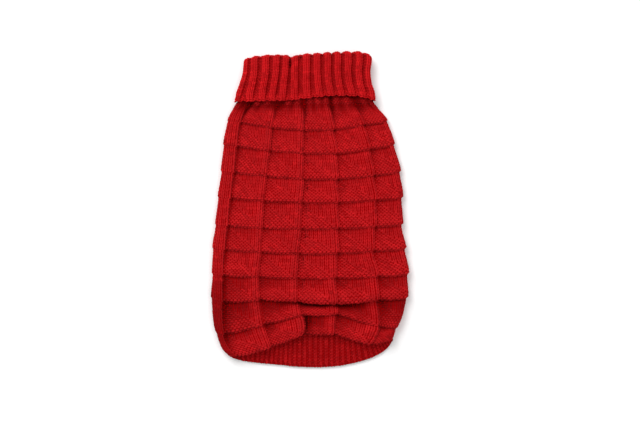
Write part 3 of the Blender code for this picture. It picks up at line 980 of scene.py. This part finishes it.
@dataclass
class BackPanel(KnitPiece):
    """The tiled back, wrapped round both sides to the seams underneath."""

    base: float = 6.0
    ridge_rise: float = 4.2
    shingle_rise: float = 3.4
    shingle_dip: float = 0.3
    slack_spread: float = 0.2
    slack_by_row: float = 2.3
    slack_by_column: float = 1.7
    band_rise: float = 3.0
    left_band_fade: float = 0.6
    right_band_fade: float = 0.7
    right_band_end: float = 2.0
    sag: float = 1.2
    neck_courses: int = 3
    relief_start: float = -3.5
    relief_fade: float = 2.0
    neck_share: float = 0.4
    neck_fade: float = 4.0
    valley_depth: float = 2.2
    valley_reach: float = 0.13
    valley_end: float = 11.0
    valley_fade: float = 8.0
    gather_depth: float = 0.8
    gather_wales: float = 3.3
    gather_drift: float = 1.7
    gather_drift_wales: float = 4.3
    gather_courses: float = 6.0
    edge_lean: float = 1.0
    stagger: float = 2.4
    stagger_end: float = 34.0
    stagger_fade: float = 30.0
    lean_courses: float = 3.0
    lean_wales: float = 4.0
    inset: float = 2.1
    left_step: float = 1.4
    right_step: float = 2.6
    last_step_course: float = 75.0
    step_fade: float = 6.0
    # Painted shade in the troughs, under the collar and towards the hem, and painted light on the highest
    # ridges, with its limits.
    lit_rise: float = 2.6
    trough_shade: float = 0.55
    collar_shade: float = 0.3
    collar_shade_end: float = 1.5
    collar_shade_fade: float = 2.5
    hem_shade: float = 1.4
    hem_shade_start: float = 50.0
    hem_shade_fade: float = 16.0
    painted_light_limit: float = -0.6
    painted_shade_limit: float = 3.0

    def wale_of(self, column: Array | float) -> Array | float:
        """Wale on the back of a place in the chart, which starts at the left flap's seam."""
        return column - FLAP_WALES

    def tile_rise(self, wale: Array, course: Array) -> Array:
        """How far the tiles stand up, each with its own slack.

        Args:
            wale: wales from the left fold.
            course: courses from the collar.

        Returns:
            Millimetres for each place.
        """
        ridge = RIDGE.at(tile_across(wale))
        shingle = SHINGLE.at(tile_down(course))
        row = np.floor(course / TILE_COURSES)
        column = np.floor((wale - RIDGE_WALES[1]) / TILE_WALES)
        slack = 1.0 + self.slack_spread * np.sin(self.slack_by_row * row + self.slack_by_column * column)
        step = self.shingle_rise * slack * shingle * (1.0 - self.shingle_dip * ridge)
        return np.where(wale >= RIDGE_WALES[1], self.ridge_rise * ridge + step, 0.0)

    def relief(self, wale: Array, course: Array) -> Array:
        """How far the tiles, side bands and folds stand over the panel's lowest level.

        Args:
            wale: wales from the left fold.
            course: courses from the collar.

        Returns:
            Millimetres for each place.
        """
        left_band = ease((RIDGE_WALES[1] - wale) / self.left_band_fade)
        right_band = ease((wale - SIDE_BAND_WALE) / self.right_band_fade)
        right_band = right_band * ease((SIDE_BAND_COURSE - course) / self.right_band_end)
        rise = self.tile_rise(wale, course) * (1.0 - right_band) + self.band_rise * (left_band + right_band)
        for fold in FOLDS:
            across = (wale - fold.wale) / fold.wale_reach
            down = (course - fold.course) / fold.course_reach
            rise = rise + fold.rise * np.exp(-(across**2 + down**2))
        from_edge = np.minimum(tile_across(wale), 1.0 - tile_across(wale))
        valley = np.exp(-((from_edge / self.valley_reach) ** 2))
        valley = valley * ease((self.valley_end - course) / self.valley_fade)
        drift = self.gather_drift * np.sin(wale / self.gather_drift_wales)
        gather = np.sin(math.tau * wale / self.gather_wales + drift)
        near_collar = ease((self.gather_courses - course) / self.gather_courses)
        fullness = self.neck_share + (1.0 - self.neck_share) * ease(course / self.neck_fade)
        under_collar = ease((course - self.relief_start) / self.relief_fade) * fullness
        gathered = self.gather_depth * (gather - 1.0) * near_collar
        return rise * under_collar - self.valley_depth * valley + gathered

    def lean(self, wale: Array, course: Array) -> tuple[Array, Array]:
        """How far a tile's raised edges lean over their neighbours.

        Args:
            wale: wales from the left fold.
            course: courses from the collar.

        Returns:
            Millimetres to the right and millimetres down, for each place.
        """
        to_right = LEAN.at(tile_across(wale))
        to_down = LEAN.at(tile_down(course))
        right = self.edge_lean * to_right
        down = self.edge_lean * to_down
        on_left = np.clip((self.stagger_end - wale) / self.stagger_fade, 0.0, 1.0)
        right = right + self.stagger * STAGGER.at(tile_down(course)) * on_left
        for over in OVERLAPS:
            across = (wale - over.wale) / over.wale_reach
            along = (course - over.course) / over.course_reach
            share = np.exp(-(across**4 + along**4))
            right = right + over.right * to_right * share
            down = down + over.down * to_down * share
        return right, down

    def surface(self, wale: Array, course: Array) -> Array:
        """The back's form, as KnitPiece.surface gives it.

        The cloth runs from the left flap's seam, round the left fold, over the top, round the right
        fold and in to the right flap's seam. A fold's radius follows the height of the cloth there.

        Args:
            wale: stitches across, from the left flap's seam.
            course: stitches down, from inside the collar.

        Returns:
            A row of X, Y and Z for each place, in millimetres.
        """
        wale = self.wale_of(wale)
        course = course - self.neck_courses
        places, heights = side_folds(course)
        last = RIDGE_WALES[-1]
        at_left = wale < last / 2.0
        on_top = (wale >= 0.0) & (wale <= last)
        shown = np.clip(wale, 0.0, last)
        ridge = np.interp(shown, RIDGE_WALES, range(len(RIDGE_WALES)))
        sag = self.sag * np.sin(np.pi * (ridge % 1.0)) * ease(course / TUCK_COURSE)
        lean_right, lean_down = self.lean(shown, course)
        started = ease(course / self.lean_courses)
        y_top = between(shown, RIDGE_WALES, heights) - sag - lean_down * started
        middle = ease(shown / self.lean_wales) * ease((last - shown) / self.lean_wales)
        x_top = between(shown, RIDGE_WALES, places) + lean_right * middle * started
        outline_x = np.where(at_left, places[:, 0], places[:, -1])
        fold_y = np.where(at_left, heights[:, 0], heights[:, -1])
        y = np.where(on_top, y_top, fold_y)
        inward = np.where(at_left, 1.0, -1.0)
        step = np.where(at_left, self.left_step, self.right_step) * SIDE_STEP.at(tile_down(course))
        step = step * ease(course / TILE_COURSES) * ease((self.last_step_course - course) / self.step_fade)
        fold_x = outline_x + inward * (self.inset - step)

        lift = neck_lift(y)
        floor = FLOOR_LEVEL + lift
        fold_wale = np.where(at_left, 0.0, last)
        edge_top = self.base + lift + self.relief(fold_wale, course)
        radius = (edge_top - floor) / 2.0
        quarter = math.pi / 2.0
        slack = (quarter - 1.0) * radius
        band = np.where(at_left, places[:, 1] - places[:, 0], places[:, -1] - places[:, -2])
        along = np.abs(x_top - outline_x)
        top_way = along + slack * np.minimum(along / band, 1.0)
        flap_way = np.abs(wale - fold_wale) / FLAP_WALES * (flap_width(course, at_left) + slack)
        way = np.where(on_top, top_way, flap_way)
        angle = np.minimum(way / radius, quarter)
        reach = radius * (1.0 - np.cos(angle)) + np.maximum(way - radius * quarter, 0.0)
        x = fold_x + inward * reach
        swell = (self.base + lift + self.relief(shown, course) - edge_top) * np.sin(angle) ** 2
        turned = radius * np.sin(angle)
        z = floor + radius + np.where(on_top, turned + swell, -turned)
        return np.column_stack([x, y, z])

    def shade_depth(self, wale: Array, course: Array) -> Array:
        """Paints shade into the troughs between the tiles, and onto the cloth under the collar and near the
        hem.

        Args:
            wale: stitches across, from the left flap's seam.
            course: stitches down, from inside the collar.

        Returns:
            A painted shade depth for each place, less than zero on the highest ridges, where light is
            painted.
        """
        shown = np.clip(self.wale_of(wale), 0.0, RIDGE_WALES[-1])
        down = course - self.neck_courses
        trough = self.trough_shade * (self.lit_rise - self.relief(shown, down))
        by_collar = ease((self.collar_shade_end - down) / self.collar_shade_fade)
        by_hem = ease((down - self.hem_shade_start) / self.hem_shade_fade)
        shade = self.collar_shade * by_collar + self.hem_shade * by_hem
        return np.clip(trough + shade, self.painted_light_limit, self.painted_shade_limit)

    def kind_at(self, column: int, row: int) -> Kind | None:
        """Knit on both side bands, and above each tile's falling diagonal, with purl below it.

        Args:
            column: stitches across, from 0 at the left flap's seam.
            row: stitches down, from 0 inside the collar.

        Returns:
            The kind of stitch.
        """
        wale = self.wale_of(column + 0.5)
        course = row + 0.5 - self.neck_courses
        if wale < RIDGE_WALES[1] or (wale > SIDE_BAND_WALE and course < SIDE_BAND_COURSE):
            return Kind.KNIT
        return Kind.KNIT if tile_across(wale) > tile_down(course) else Kind.PURL


@dataclass(frozen=True)
class Hole:
    """An oval leg hole: its middle and its half sizes."""

    x: float
    y: float = 74.0
    half_width: float = 24.0
    half_length: float = 30.0

    def reach(self, x: Array, y: Array) -> Array:
        """How far out a place is, from 0 at the middle to 1 on the oval."""
        return np.hypot((x - self.x) / self.half_width, (y - self.y) / self.half_length)


LEG_HOLES = {"left": Hole(-38.0), "right": Hole(35.0)}


@dataclass
class BellyPanel(KnitPiece):
    """The plain belly, knit side down, between the two seams and with two leg holes."""

    upper_course: float = -2.0
    stitch_clearance: float = 1.02
    snap_reach: float = 0.12
    cut_reach: float = 0.97

    def surface(self, wale: Array, course: Array) -> Array:
        """The belly's form, as KnitPiece.surface gives it, knit side down.

        Args:
            wale: stitches across, from the right seam.
            course: stitches down, from inside the collar.

        Returns:
            A row of X, Y and Z for each place, in millimetres.
        """
        body_course = self.upper_course + course
        places, heights = side_folds(body_course)
        right = places[:, -1] - flap_width(body_course, np.zeros(len(course), bool))
        left = places[:, 0] + flap_width(body_course, np.ones(len(course), bool))
        share = wale / self.columns
        y = blend(heights[:, -1], heights[:, 0], share)
        return np.column_stack([blend(right, left, share), y, FLOOR_LEVEL + neck_lift(y)])

    def kind_at(self, column: int, row: int) -> Kind | None:
        """Knit everywhere but in the leg holes.

        Args:
            column: stitches across, from 0 at the right seam.
            row: stitches down, from 0 inside the collar.

        Returns:
            The kind of stitch, or None in a hole.
        """
        x, y, _ = self.surface(np.array([column + 0.5]), np.array([row + 0.5]))[0]
        nearest = min(hole.reach(x, y) for hole in LEG_HOLES.values())
        return None if nearest < self.stitch_clearance else Kind.KNIT

    def shell_shape(self) -> bmesh.types.BMesh:
        """Bends the belly's sheet, and cuts its two leg holes along their ovals.

        Returns:
            The sheet, with no thickness yet.
        """
        shape = super().shell_shape()
        for hole in LEG_HOLES.values():
            middle = Vector((hole.x, hole.y)) * MM
            for corner in shape.verts:
                reach = hole.reach(*(corner.co.xy / MM))
                if abs(reach - 1.0) < self.snap_reach:
                    corner.co.xy = middle + (corner.co.xy - middle) / reach
            faces = [(face, hole.reach(*(face.calc_center_median().xy / MM))) for face in shape.faces]
            inside = [face for face, reach in faces if reach < self.cut_reach]
            bmesh.ops.delete(shape, geom=inside, context="FACES")
        return shape


@dataclass(frozen=True)
class RibLine:
    """A rib's line down a hem band: its seam end and its free end."""

    seam_x: float
    seam_y: float
    free_x: float
    free_y: float


@dataclass
class RibPiece(KnitPiece):
    """A piece in 1x1 rib with a cast-off edge: knit and purl wales in turn."""

    rib_rise: float = 0.6

    def wave(self, wale: Array) -> Array:
        """Which way the rib bends at each wale, from 1 on a knit wale to -1 on a purl one."""
        return np.cos(math.tau * (wale - 0.5) / 2.0)

    def kind_at(self, column: int, row: int) -> Kind | None:
        """Knit and purl ribs in turn, with a cast-off edge.

        Args:
            column: stitches along the band, from 0.
            row: stitches across the band, from 0 at its seam.

        Returns:
            The kind of stitch.
        """
        if row == self.rows - 1:
            return Kind.CAST_OFF
        return Kind.KNIT if column % 2 == 0 else Kind.PURL


@dataclass
class HemBand(RibPiece):
    """A rib band along the hem, with its courses counted from its free edge."""

    lines: tuple[RibLine, ...] = ()
    seam_level: float = FLOOR_LEVEL
    free_level: float = FLOOR_LEVEL
    seam_tuck: float = 0.0
    # Painted shade on the band, deepest on the purl wales and lighter on the knit wales.
    purl_shade: float = 0.9
    knit_painted_light: float = 0.5

    def ends(self, wale: Array) -> tuple[Array, Array]:
        """Reads the two ends of the rib line at each wale.

        Args:
            wale: stitches along the band.

        Returns:
            X and Y of the seam end, and X and Y of the free end.
        """
        stops = np.linspace(0.0, self.columns, len(self.lines))
        rows = [(line.seam_x, line.seam_y, line.free_x, line.free_y) for line in self.lines]
        ends = smooth_rows(wale, stops, rows)
        return ends[:, :2], ends[:, 2:]

    def reach(self, wale: Array) -> Array:
        """Courses between the free edge and the seam at each wale."""
        seam, free = self.ends(wale)
        return (np.linalg.norm(seam - free, axis=1) + self.seam_tuck) / COURSE

    def surface(self, wale: Array, course: Array) -> Array:
        """The band's form, as KnitPiece.surface gives it.

        Args:
            wale: stitches along the band.
            course: stitches across it, with the last at the free edge.

        Returns:
            A row of X, Y and Z for each place, in millimetres.
        """
        seam, free = self.ends(wale)
        length = np.linalg.norm(free - seam, axis=1)
        way = (free - seam) / np.maximum(length, SHORTEST_RIB)[:, None]
        up = (self.rows - course) * COURSE
        flat = free - way * up[:, None]
        share = ease(up / np.maximum(self.reach(wale) * COURSE, SHORTEST_RIB))
        level = blend(self.free_level, self.seam_level, share)
        rib = self.wave(wale) * self.rib_rise * 0.5
        facing = 1.0 if self.seam_level > self.free_level else -1.0
        return np.column_stack([flat, level + facing * rib])

    def shade_depth(self, wale: Array, course: Array) -> Array:
        """Paints shade onto the band, deepest on the purl wales, which lie down between the knit ones."""
        return self.purl_shade - self.knit_painted_light * self.wave(wale)

    def kind_at(self, column: int, row: int) -> Kind | None:
        """Knit and purl ribs in turn out from the seam, however far off that is.

        Args:
            column: stitches along the band, from 0.
            row: stitches across it, with the last at the free edge.

        Returns:
            The kind of stitch, or None beyond the seam.
        """
        if self.rows - row - 0.5 > self.reach(np.array([column + 0.5]))[0]:
            return None
        return super().kind_at(column, row)

    def cut_at(self, across: Array, down: Array) -> tuple[Array, Array]:
        """The shell runs from the seam to the free edge, however long the ribs are."""
        wale = across * self.columns
        return wale, self.rows - self.reach(wale) * (1.0 - down)


@dataclass
class LegBand(RibPiece):
    """A rib ring round a leg hole, on the underside."""

    closed: bool = True
    hole: Hole = LEG_HOLES["left"]
    width: float = 7.0

    def surface(self, wale: Array, course: Array) -> Array:
        """The ring's form, as KnitPiece.surface gives it.

        Args:
            wale: stitches round the hole.
            course: stitches in towards the leg.

        Returns:
            A row of X, Y and Z for each place, in millimetres.
        """
        angle = wale / self.columns * math.tau
        inward = course / self.rows * self.width
        x = self.hole.x + (self.hole.half_width - inward) * np.cos(angle)
        y = self.hole.y + (self.hole.half_length - inward) * np.sin(angle)
        rib = self.wave(wale) * self.rib_rise * 0.5
        return np.column_stack([x, y, FLOOR_LEVEL - rib])


@dataclass(frozen=True)
class CollarLevel:
    """A level of the collar: its two side edges."""

    y: float
    left: float
    right: float


COLLAR_LEVELS = (
    CollarLevel(120.0, -84.2, 74.2),
    CollarLevel(130.0, -82.8, 74.4),
    CollarLevel(142.0, -78.4, 70.8),
    CollarLevel(156.0, -74.4, 69.2),
    CollarLevel(168.0, -73.4, 70.8),
    CollarLevel(179.0, -72.6, 71.0),
)


@dataclass(frozen=True)
class CollarEdge:
    """A point of the collar's fold and lower edge, by its share of the width."""

    share: float
    fold_y: float
    low_y: float


COLLAR_EDGES = (
    CollarEdge(0.00, 170.0, 120.5),
    CollarEdge(0.06, 172.5, 120.6),
    CollarEdge(0.20, 174.4, 121.2),
    CollarEdge(0.31, 174.6, 121.6),
    CollarEdge(0.36, 172.2, 121.6),
    CollarEdge(0.42, 174.8, 122.6),
    CollarEdge(0.55, 176.4, 125.0),
    CollarEdge(0.72, 178.0, 127.2),
    CollarEdge(0.86, 178.5, 126.6),
    CollarEdge(0.95, 177.0, 123.2),
    CollarEdge(1.00, 170.0, 121.6),
)


@dataclass(frozen=True)
class CollarRib:
    """A rib of the collar's top layer: X at the fold and at the lower edge."""

    fold_x: float
    low_x: float


COLLAR_RIBS = (
    CollarRib(-72.9, -82.0),
    CollarRib(-63.8, -68.4),
    CollarRib(-50.3, -54.0),
    CollarRib(-37.9, -42.6),
    CollarRib(-27.0, -31.1),
    CollarRib(-17.4, -17.0),
    CollarRib(-3.3, -2.6),
    CollarRib(8.4, 12.0),
    CollarRib(20.9, 24.8),
    CollarRib(32.4, 36.7),
    CollarRib(44.4, 49.0),
    CollarRib(58.0, 61.6),
    CollarRib(69.0, 72.4),
)


@dataclass
class Collar(KnitPiece):
    """The turtleneck: a tube of 2x2 rib, folded down over itself and lying flattened.

    Seen from above, the tube is a flattened loop: a top layer and an under layer, joined by a half
    round of `half` at each side. Each rib's place round the loop is read from the tables above.
    """

    closed: bool = True
    middle: float = 7.0
    half: float = 5.3
    rib_wales: float = 4.0
    under_ribs: int = 13
    fold_sides: tuple[float, float] = (-73.4, 70.8)
    edge_sides: tuple[float, float] = (-83.4, 74.3)
    fold_radius: float = 2.2
    fold_courses: float = 3.0
    outer_courses: float = 15.0
    yarn_inset: float = 1.6
    edge_inset: float = 1.5
    crest_middle: float = 0.47
    crest_swing: float = 0.62
    rib_rise: float = 3.7
    rib_level: float = 0.68
    edge_rise_share: float = 0.55
    edge_rise_start: float = 0.8
    flare: float = 1.2
    flare_start: float = 0.84
    bead: float = 0.5
    crest_bead: float = 0.9
    bead_start: float = 0.9
    fold_scallop: float = 0.6
    crease_x: float = -21.5
    crease_reach: float = 2.6
    crease_depth: float = 1.6
    crease_edge_share: float = 0.3
    # Painted shade in the furrows and painted light on the crests.
    furrow_shade: float = 1.35
    furrow_level: float = 0.6
    open_share: float = 0.6
    open_start: float = 3.5
    open_fade: float = 3.0

    def loop_way(self, x: Array, left: float, right: float) -> Array:
        """Measures how far round the flattened loop a place on its top layer is.

        Args:
            x: places on the top layer.
            left: the loop's left side.
            right: the loop's right side.

        Returns:
            The distance from the left side for each place, as a share of the whole loop.
        """
        flat = right - left - 2.0 * self.half
        around = 2.0 * flat + math.tau * self.half
        from_left = np.clip((x - left) / self.half, 0.0, 1.0)
        from_right = np.clip((right - x) / self.half, 0.0, 1.0)
        turn_in = self.half * np.arccos(1.0 - from_left)
        turn_out = self.half * (math.pi / 2.0 - np.arccos(1.0 - from_right))
        level = np.clip(x - left - self.half, 0.0, flat)
        return (turn_in + level + turn_out) / around

    def rib_stops(self, places: list[float], sides: tuple[float, float]) -> Array:
        """Places every rib round the loop, with those of the under layer evenly spaced.

        Args:
            places: X of the top layer's ribs.
            sides: X of the loop's left and right side.

        Returns:
            The share of the loop for every rib, and for the first again after a whole round.
        """
        top = self.loop_way(np.array(places), *sides)
        gap = 1.0 + top[0] - top[-1]
        under = top[-1] + gap * np.arange(1, self.under_ribs + 2) / (self.under_ribs + 1)
        return np.concatenate([top, under])

    def round_share(self, wale: Array, outer: Array) -> Array:
        """Reads how far round the loop each wale is.

        Args:
            wale: stitches round the collar.
            outer: how far down the outer layer, from 0 at the fold to 1 at the edge.

        Returns:
            The share of the loop, from 0 to 1, with the top layer in its first half.
        """
        at_fold = self.rib_stops([rib.fold_x for rib in COLLAR_RIBS], self.fold_sides)
        at_edge = self.rib_stops([rib.low_x for rib in COLLAR_RIBS], self.edge_sides)
        turns, within = np.divmod((wale - 1.0) / self.rib_wales, len(COLLAR_RIBS) + self.under_ribs)
        stops = np.arange(len(at_fold))
        share = blend(np.interp(within, stops, at_fold), np.interp(within, stops, at_edge), outer)
        return (share + turns) % 1.0

    def ribbing(self, wale: Array) -> Array:
        """How far up the ribs stand at each wale, from 0 in the valleys to 1 on the crests."""
        swing = np.cos(math.tau * (wale - 1.0) / self.rib_wales)
        return ease(self.crest_middle + self.crest_swing * swing)

    def surface(self, wale: Array, course: Array) -> Array:
        """The collar's form, as KnitPiece.surface gives it.

        Args:
            wale: stitches round the collar.
            course: stitches from inside, over the fold and down to the edge.

        Returns:
            A row of X, Y and Z for each place, in millimetres.
        """
        down = course - (self.rows - self.outer_courses)
        outer = np.clip(down / self.outer_courses, 0.0, 1.1)
        on_outer = np.minimum(outer, 1.0)
        share_round = self.round_share(wale, on_outer)
        mirrored = np.where(share_round > 0.5, 1.0 - share_round, share_round)
        side = np.where(share_round > 0.5, -1.0, 1.0)

        rows = [(edge.fold_y, edge.low_y) for edge in COLLAR_EDGES]
        edges = smooth_rows(mirrored * 2.0, [edge.share for edge in COLLAR_EDGES], rows)
        shoulder = edges[:, 0] - self.fold_radius - self.yarn_inset
        angle = np.clip(-down / self.fold_courses, 0.0, 1.0) * math.pi
        inside = np.maximum(-down - self.fold_courses, 0.0) * COURSE
        y = blend(shoulder, edges[:, 1] + self.edge_inset, outer) + self.fold_radius * np.sin(angle) - inside
        depth = self.fold_radius * (1.0 - np.cos(angle))
        rows = [(level.left, level.right) for level in COLLAR_LEVELS]
        sides = smooth_rows(y, [level.y for level in COLLAR_LEVELS], rows)
        left = sides[:, 0] + self.yarn_inset + depth
        right = sides[:, 1] - self.yarn_inset - depth

        ribbing = self.ribbing(wale)
        flare = self.flare * ease((outer - self.flare_start) / (1.0 - self.flare_start))
        near_edge = ease((outer - self.edge_rise_start) / (1.0 - self.edge_rise_start))
        rise_share = blend(1.0, self.edge_rise_share, near_edge)
        ribbed = (ribbing - self.rib_level) * self.rib_rise * rise_share
        outward = ribbed * np.cos(angle) + flare * np.cos(angle)
        beads = self.bead * np.cos(math.tau * wale / 2.0) + self.crest_bead * ribbing
        beads = beads * ease((outer - self.bead_start) / (1.0 - self.bead_start))
        y = y + self.fold_scallop * ribbed * np.sin(angle) - beads

        radius = self.half - depth
        flat = right - left - 2.0 * radius
        way = mirrored * (2.0 * flat + math.tau * radius)
        quarter = radius * math.pi / 2.0
        turn_in = np.clip(way / radius, 0.0, math.pi / 2.0)
        turn_out = np.clip((way - quarter - flat) / radius, 0.0, math.pi / 2.0)
        level = np.clip(way - quarter, 0.0, flat)
        bow = radius + outward
        x = left + radius - bow * np.cos(turn_in) + level + bow * np.sin(turn_out)
        rise = bow * np.sin(turn_in) * np.cos(turn_out)
        crease = self.crease_depth * np.exp(-(((x - self.crease_x) / self.crease_reach) ** 2))
        crease = crease * np.where(side > 0.0, 1.0, 0.0)
        crease = crease * blend(1.0, self.crease_edge_share, on_outer) * np.cos(angle)
        return np.column_stack([x, y, self.middle + side * (rise - crease)])

    def shade_depth(self, wale: Array, course: Array) -> Array:
        """Paints shade into the furrows, which close up towards the fold and open at the edge, and light
        onto the crests.

        Args:
            wale: stitches round the collar.
            course: stitches from inside, over the fold and down to the edge.

        Returns:
            A painted shade depth for each place, less than zero on the crests, where light is painted.
        """
        opened = ease((course - self.rows + self.open_start) / self.open_fade)
        depth = self.furrow_shade * (self.furrow_level - self.ribbing(wale))
        return depth * (1.0 - self.open_share * opened)

    def kind_at(self, column: int, row: int) -> Kind | None:
        """Two knit and two purl wales in turn, with a cast-off lower edge.

        Args:
            column: stitches round the collar, from 0.
            row: stitches down, from 0 inside the collar.

        Returns:
            The kind of stitch.
        """
        if row == self.rows - 1:
            return Kind.CAST_OFF
        return Kind.KNIT if column % self.rib_wales < self.rib_wales / 2.0 else Kind.PURL


@dataclass(frozen=True)
class TailEdge:
    """A point of the tail hem's free edge, by the wale of the back that it hangs from."""

    wale: float
    x: float
    y: float


TAIL_EDGES = (
    TailEdge(0.0, -92.0, -165.0),
    TailEdge(4.0, -82.5, -169.6),
    TailEdge(9.0, -66.0, -172.8),
    TailEdge(14.0, -48.0, -174.6),
    TailEdge(19.0, -29.5, -176.4),
    TailEdge(24.0, -11.0, -178.2),
    TailEdge(29.0, 10.0, -178.6),
    TailEdge(34.0, 31.5, -177.2),
    TailEdge(39.0, 54.0, -173.0),
    TailEdge(44.0, 76.0, -165.2),
    TailEdge(48.0, 88.0, -157.0),
    TailEdge(51.5, 94.5, -148.0),
)

# The belly hem: the seam's Y and half width, the free edge's half width, the depth, and where along it
# the rib lines are taken.
BELLY_SEAM_Y = -95.6
BELLY_SEAM_HALF = 82.0
BELLY_FREE_HALF = 68.0
BELLY_DEPTH = 28.0
BELLY_SHARES = (0.02, 0.15, 0.3, 0.5, 0.7, 0.85, 0.98)

# Its two arms, up to the hem corners: their width, their gap to the back's flaps, and the course of
# each rib line with the millimetres that it slopes.
ARM_WIDTH = 14.0
ARM_GAP = 0.6
ARM_LINES = ((79.0, 1.0), (75.0, 0.5), (72.0, -0.5), (68.0, -12.0), (64.0, -26.0))


def tail_lines() -> tuple[RibLine, ...]:
    """Lays out the tail hem's ribs, from the back's lower edge out to its own curved edge.

    Returns:
        The rib lines, from left to right.
    """
    places, heights = side_folds(np.array([HEM_COURSE]))
    lines = []
    for edge in TAIL_EDGES:
        seam_x = float(np.interp(edge.wale, RIDGE_WALES, places[0]))
        seam_y = float(np.interp(edge.wale, RIDGE_WALES, heights[0]))
        lines.append(RibLine(seam_x, seam_y, edge.x, edge.y))
    return tuple(lines)


def arm_lines(at_left: bool) -> list[RibLine]:
    """Lays out the ribs of one arm of the belly hem.

    Args:
        at_left: whether it is the left arm.

    Returns:
        The rib lines, from the hem corner to the belly.
    """
    outward = -1 if at_left else 1
    fold = 0 if at_left else -1
    lines = []
    for course, slope in ARM_LINES:
        places, heights = side_folds(np.array([course]))
        width = float(flap_width(np.array([course]), np.array([at_left]))[0])
        x = places[0, fold] - outward * (width + ARM_GAP)
        y = heights[0, fold]
        lines.append(RibLine(x, y, x - outward * ARM_WIDTH, y + slope))
    return lines


def belly_lines() -> tuple[RibLine, ...]:
    """Lays out the belly hem's ribs, up the right arm, along the belly and down the left arm.

    Returns:
        The rib lines, from right to left.
    """
    middle = []
    for share in BELLY_SHARES:
        from_middle = 1.0 - 2.0 * share
        seam_x = BELLY_SEAM_HALF * from_middle
        free_x = BELLY_FREE_HALF * from_middle
        middle.append(RibLine(seam_x, BELLY_SEAM_Y, free_x, BELLY_SEAM_Y - BELLY_DEPTH))
    return (*arm_lines(False), *middle, *reversed(arm_lines(True)))


@dataclass(frozen=True)
class SoftBox:
    """A square soft light that faces the sweater: where it hangs, its side and its power."""

    name: str
    place: tuple[float, float, float]
    side: float
    watts: float

    def hang(self) -> None:
        """Adds the light to the scene."""
        lamp = bpy.data.lights.new(self.name, "AREA")
        lamp.size = self.side
        lamp.energy = self.watts
        light = bpy.data.objects.new(self.name, lamp)
        light.location = self.place
        light.rotation_euler = (-Vector(self.place)).to_track_quat("-Z", "Y").to_euler()
        bpy.context.scene.collection.objects.link(light)


@dataclass
class Studio:
    """Plain white sweep, soft light from above and a long lens straight overhead, in metres."""

    floor_side: float = 14.0
    view_width: float = 0.723
    aim: tuple[float, float] = (0.0119, -0.0045)
    focus_height: float = 0.008
    lens: float = 85.0
    sensor: float = 36.0
    room_light: float = 0.62
    boxes: tuple[SoftBox, ...] = (
        SoftBox("key", (-0.9, 1.4, 1.5), 1.4, 38.0),
        SoftBox("fill", (1.8, -0.6, 3.0), 2.4, 24.0),
    )

    def floor(self) -> None:
        """Makes the sweep that the sweater lies on."""
        shape = bmesh.new()
        bmesh.ops.create_grid(shape, x_segments=8, y_segments=8, size=self.floor_side / 2.0)
        mesh = bpy.data.meshes.new("sweep")
        shape.to_mesh(mesh)
        shape.free()
        mesh.materials.append(FloorFinish().material())
        floor = bpy.data.objects.new("sweep", mesh)
        bpy.context.scene.collection.objects.link(floor)

    def camera(self) -> None:
        """Sets the camera straight above, looking down."""
        lens = bpy.data.cameras.new("overhead")
        lens.lens = self.lens
        lens.sensor_width = self.sensor
        camera = bpy.data.objects.new("overhead", lens)
        height = self.view_width * self.lens / self.sensor
        camera.location = (self.aim[0], self.aim[1], height + self.focus_height)
        bpy.context.scene.collection.objects.link(camera)
        bpy.context.scene.camera = camera

    def room(self) -> None:
        """Fills the room with even white light, shown as it is."""
        world = bpy.data.worlds.new("room")
        world.use_nodes = True
        background = world.node_tree.nodes["Background"]
        background.inputs["Color"].default_value = linear("ffffff")
        background.inputs["Strength"].default_value = self.room_light
        bpy.context.scene.world = world
        bpy.context.scene.view_settings.view_transform = "Standard"

    def build(self) -> None:
        """Sets up the whole studio."""
        self.floor()
        self.camera()
        for box in self.boxes:
            box.hang()
        self.room()


def leg_band(side: str, seed: int) -> LegBand:
    """Describes the band round one leg hole.

    Args:
        side: "left" or "right".
        seed: the seed of its stitches' differences.

    Returns:
        The band.
    """
    return LegBand(
        f"leg_band_{side}",
        columns=60,
        rows=3,
        slot="rib_knit",
        flat_size=(148.0, 10.0),
        rests_on=("sweep",),
        shell_columns=120,
        shell_rows=4,
        seed=seed,
        hole=LEG_HOLES[side],
    )


def sweater() -> tuple[KnitPiece, ...]:
    """Lists the pieces of the sweater, with their charts and their flat sizes.

    Returns:
        The pieces, in the order they are made.
    """
    return (
        BackPanel(
            "back_panel",
            columns=66,
            rows=83,
            slot="body_knit",
            flat_size=(285.0, 291.0),
            rests_on=("belly_panel_cloth",),
            shell_columns=100,
            shell_rows=120,
            seed=11,
            sections=2,
        ),
        BellyPanel(
            "belly_panel",
            columns=38,
            rows=65,
            slot="body_knit",
            flat_size=(166.0, 222.0),
            rests_on=("sweep",),
            shell_columns=60,
            shell_rows=80,
            seed=12,
        ),
        Collar(
            "collar",
            columns=104,
            rows=20,
            slot="rib_knit",
            flat_size=(300.0, 66.0),
            rests_on=("back_panel_cloth",),
            shell_columns=208,
            shell_rows=30,
            seed=13,
        ),
        HemBand(
            "tail_hem_band",
            columns=76,
            rows=12,
            slot="rib_knit",
            flat_size=(215.0, 26.0),
            rests_on=("sweep",),
            shell_columns=152,
            shell_rows=12,
            seed=14,
            lines=tail_lines(),
            seam_level=3.4,
            seam_tuck=3.0,
            rib_rise=0.35,
        ),
        HemBand(
            "belly_hem_band",
            columns=110,
            rows=8,
            slot="rib_knit",
            flat_size=(257.0, 24.0),
            rests_on=("sweep",),
            shell_columns=220,
            shell_rows=8,
            seed=15,
            lines=belly_lines(),
        ),
        leg_band("left", seed=16),
        leg_band("right", seed=17),
    )


def main() -> None:
    """Builds the sweater piece by piece, then the studio round it."""
    logging.basicConfig(level=logging.INFO, format="%(name)s: %(message)s")
    room = Workroom()
    for piece in sweater():
        for part in piece.build(room):
            LOG.info("%s: %d faces", part.name, len(part.data.polygons))
    room.clear()
    Studio().build()


if __name__ == "__main__":
    main()
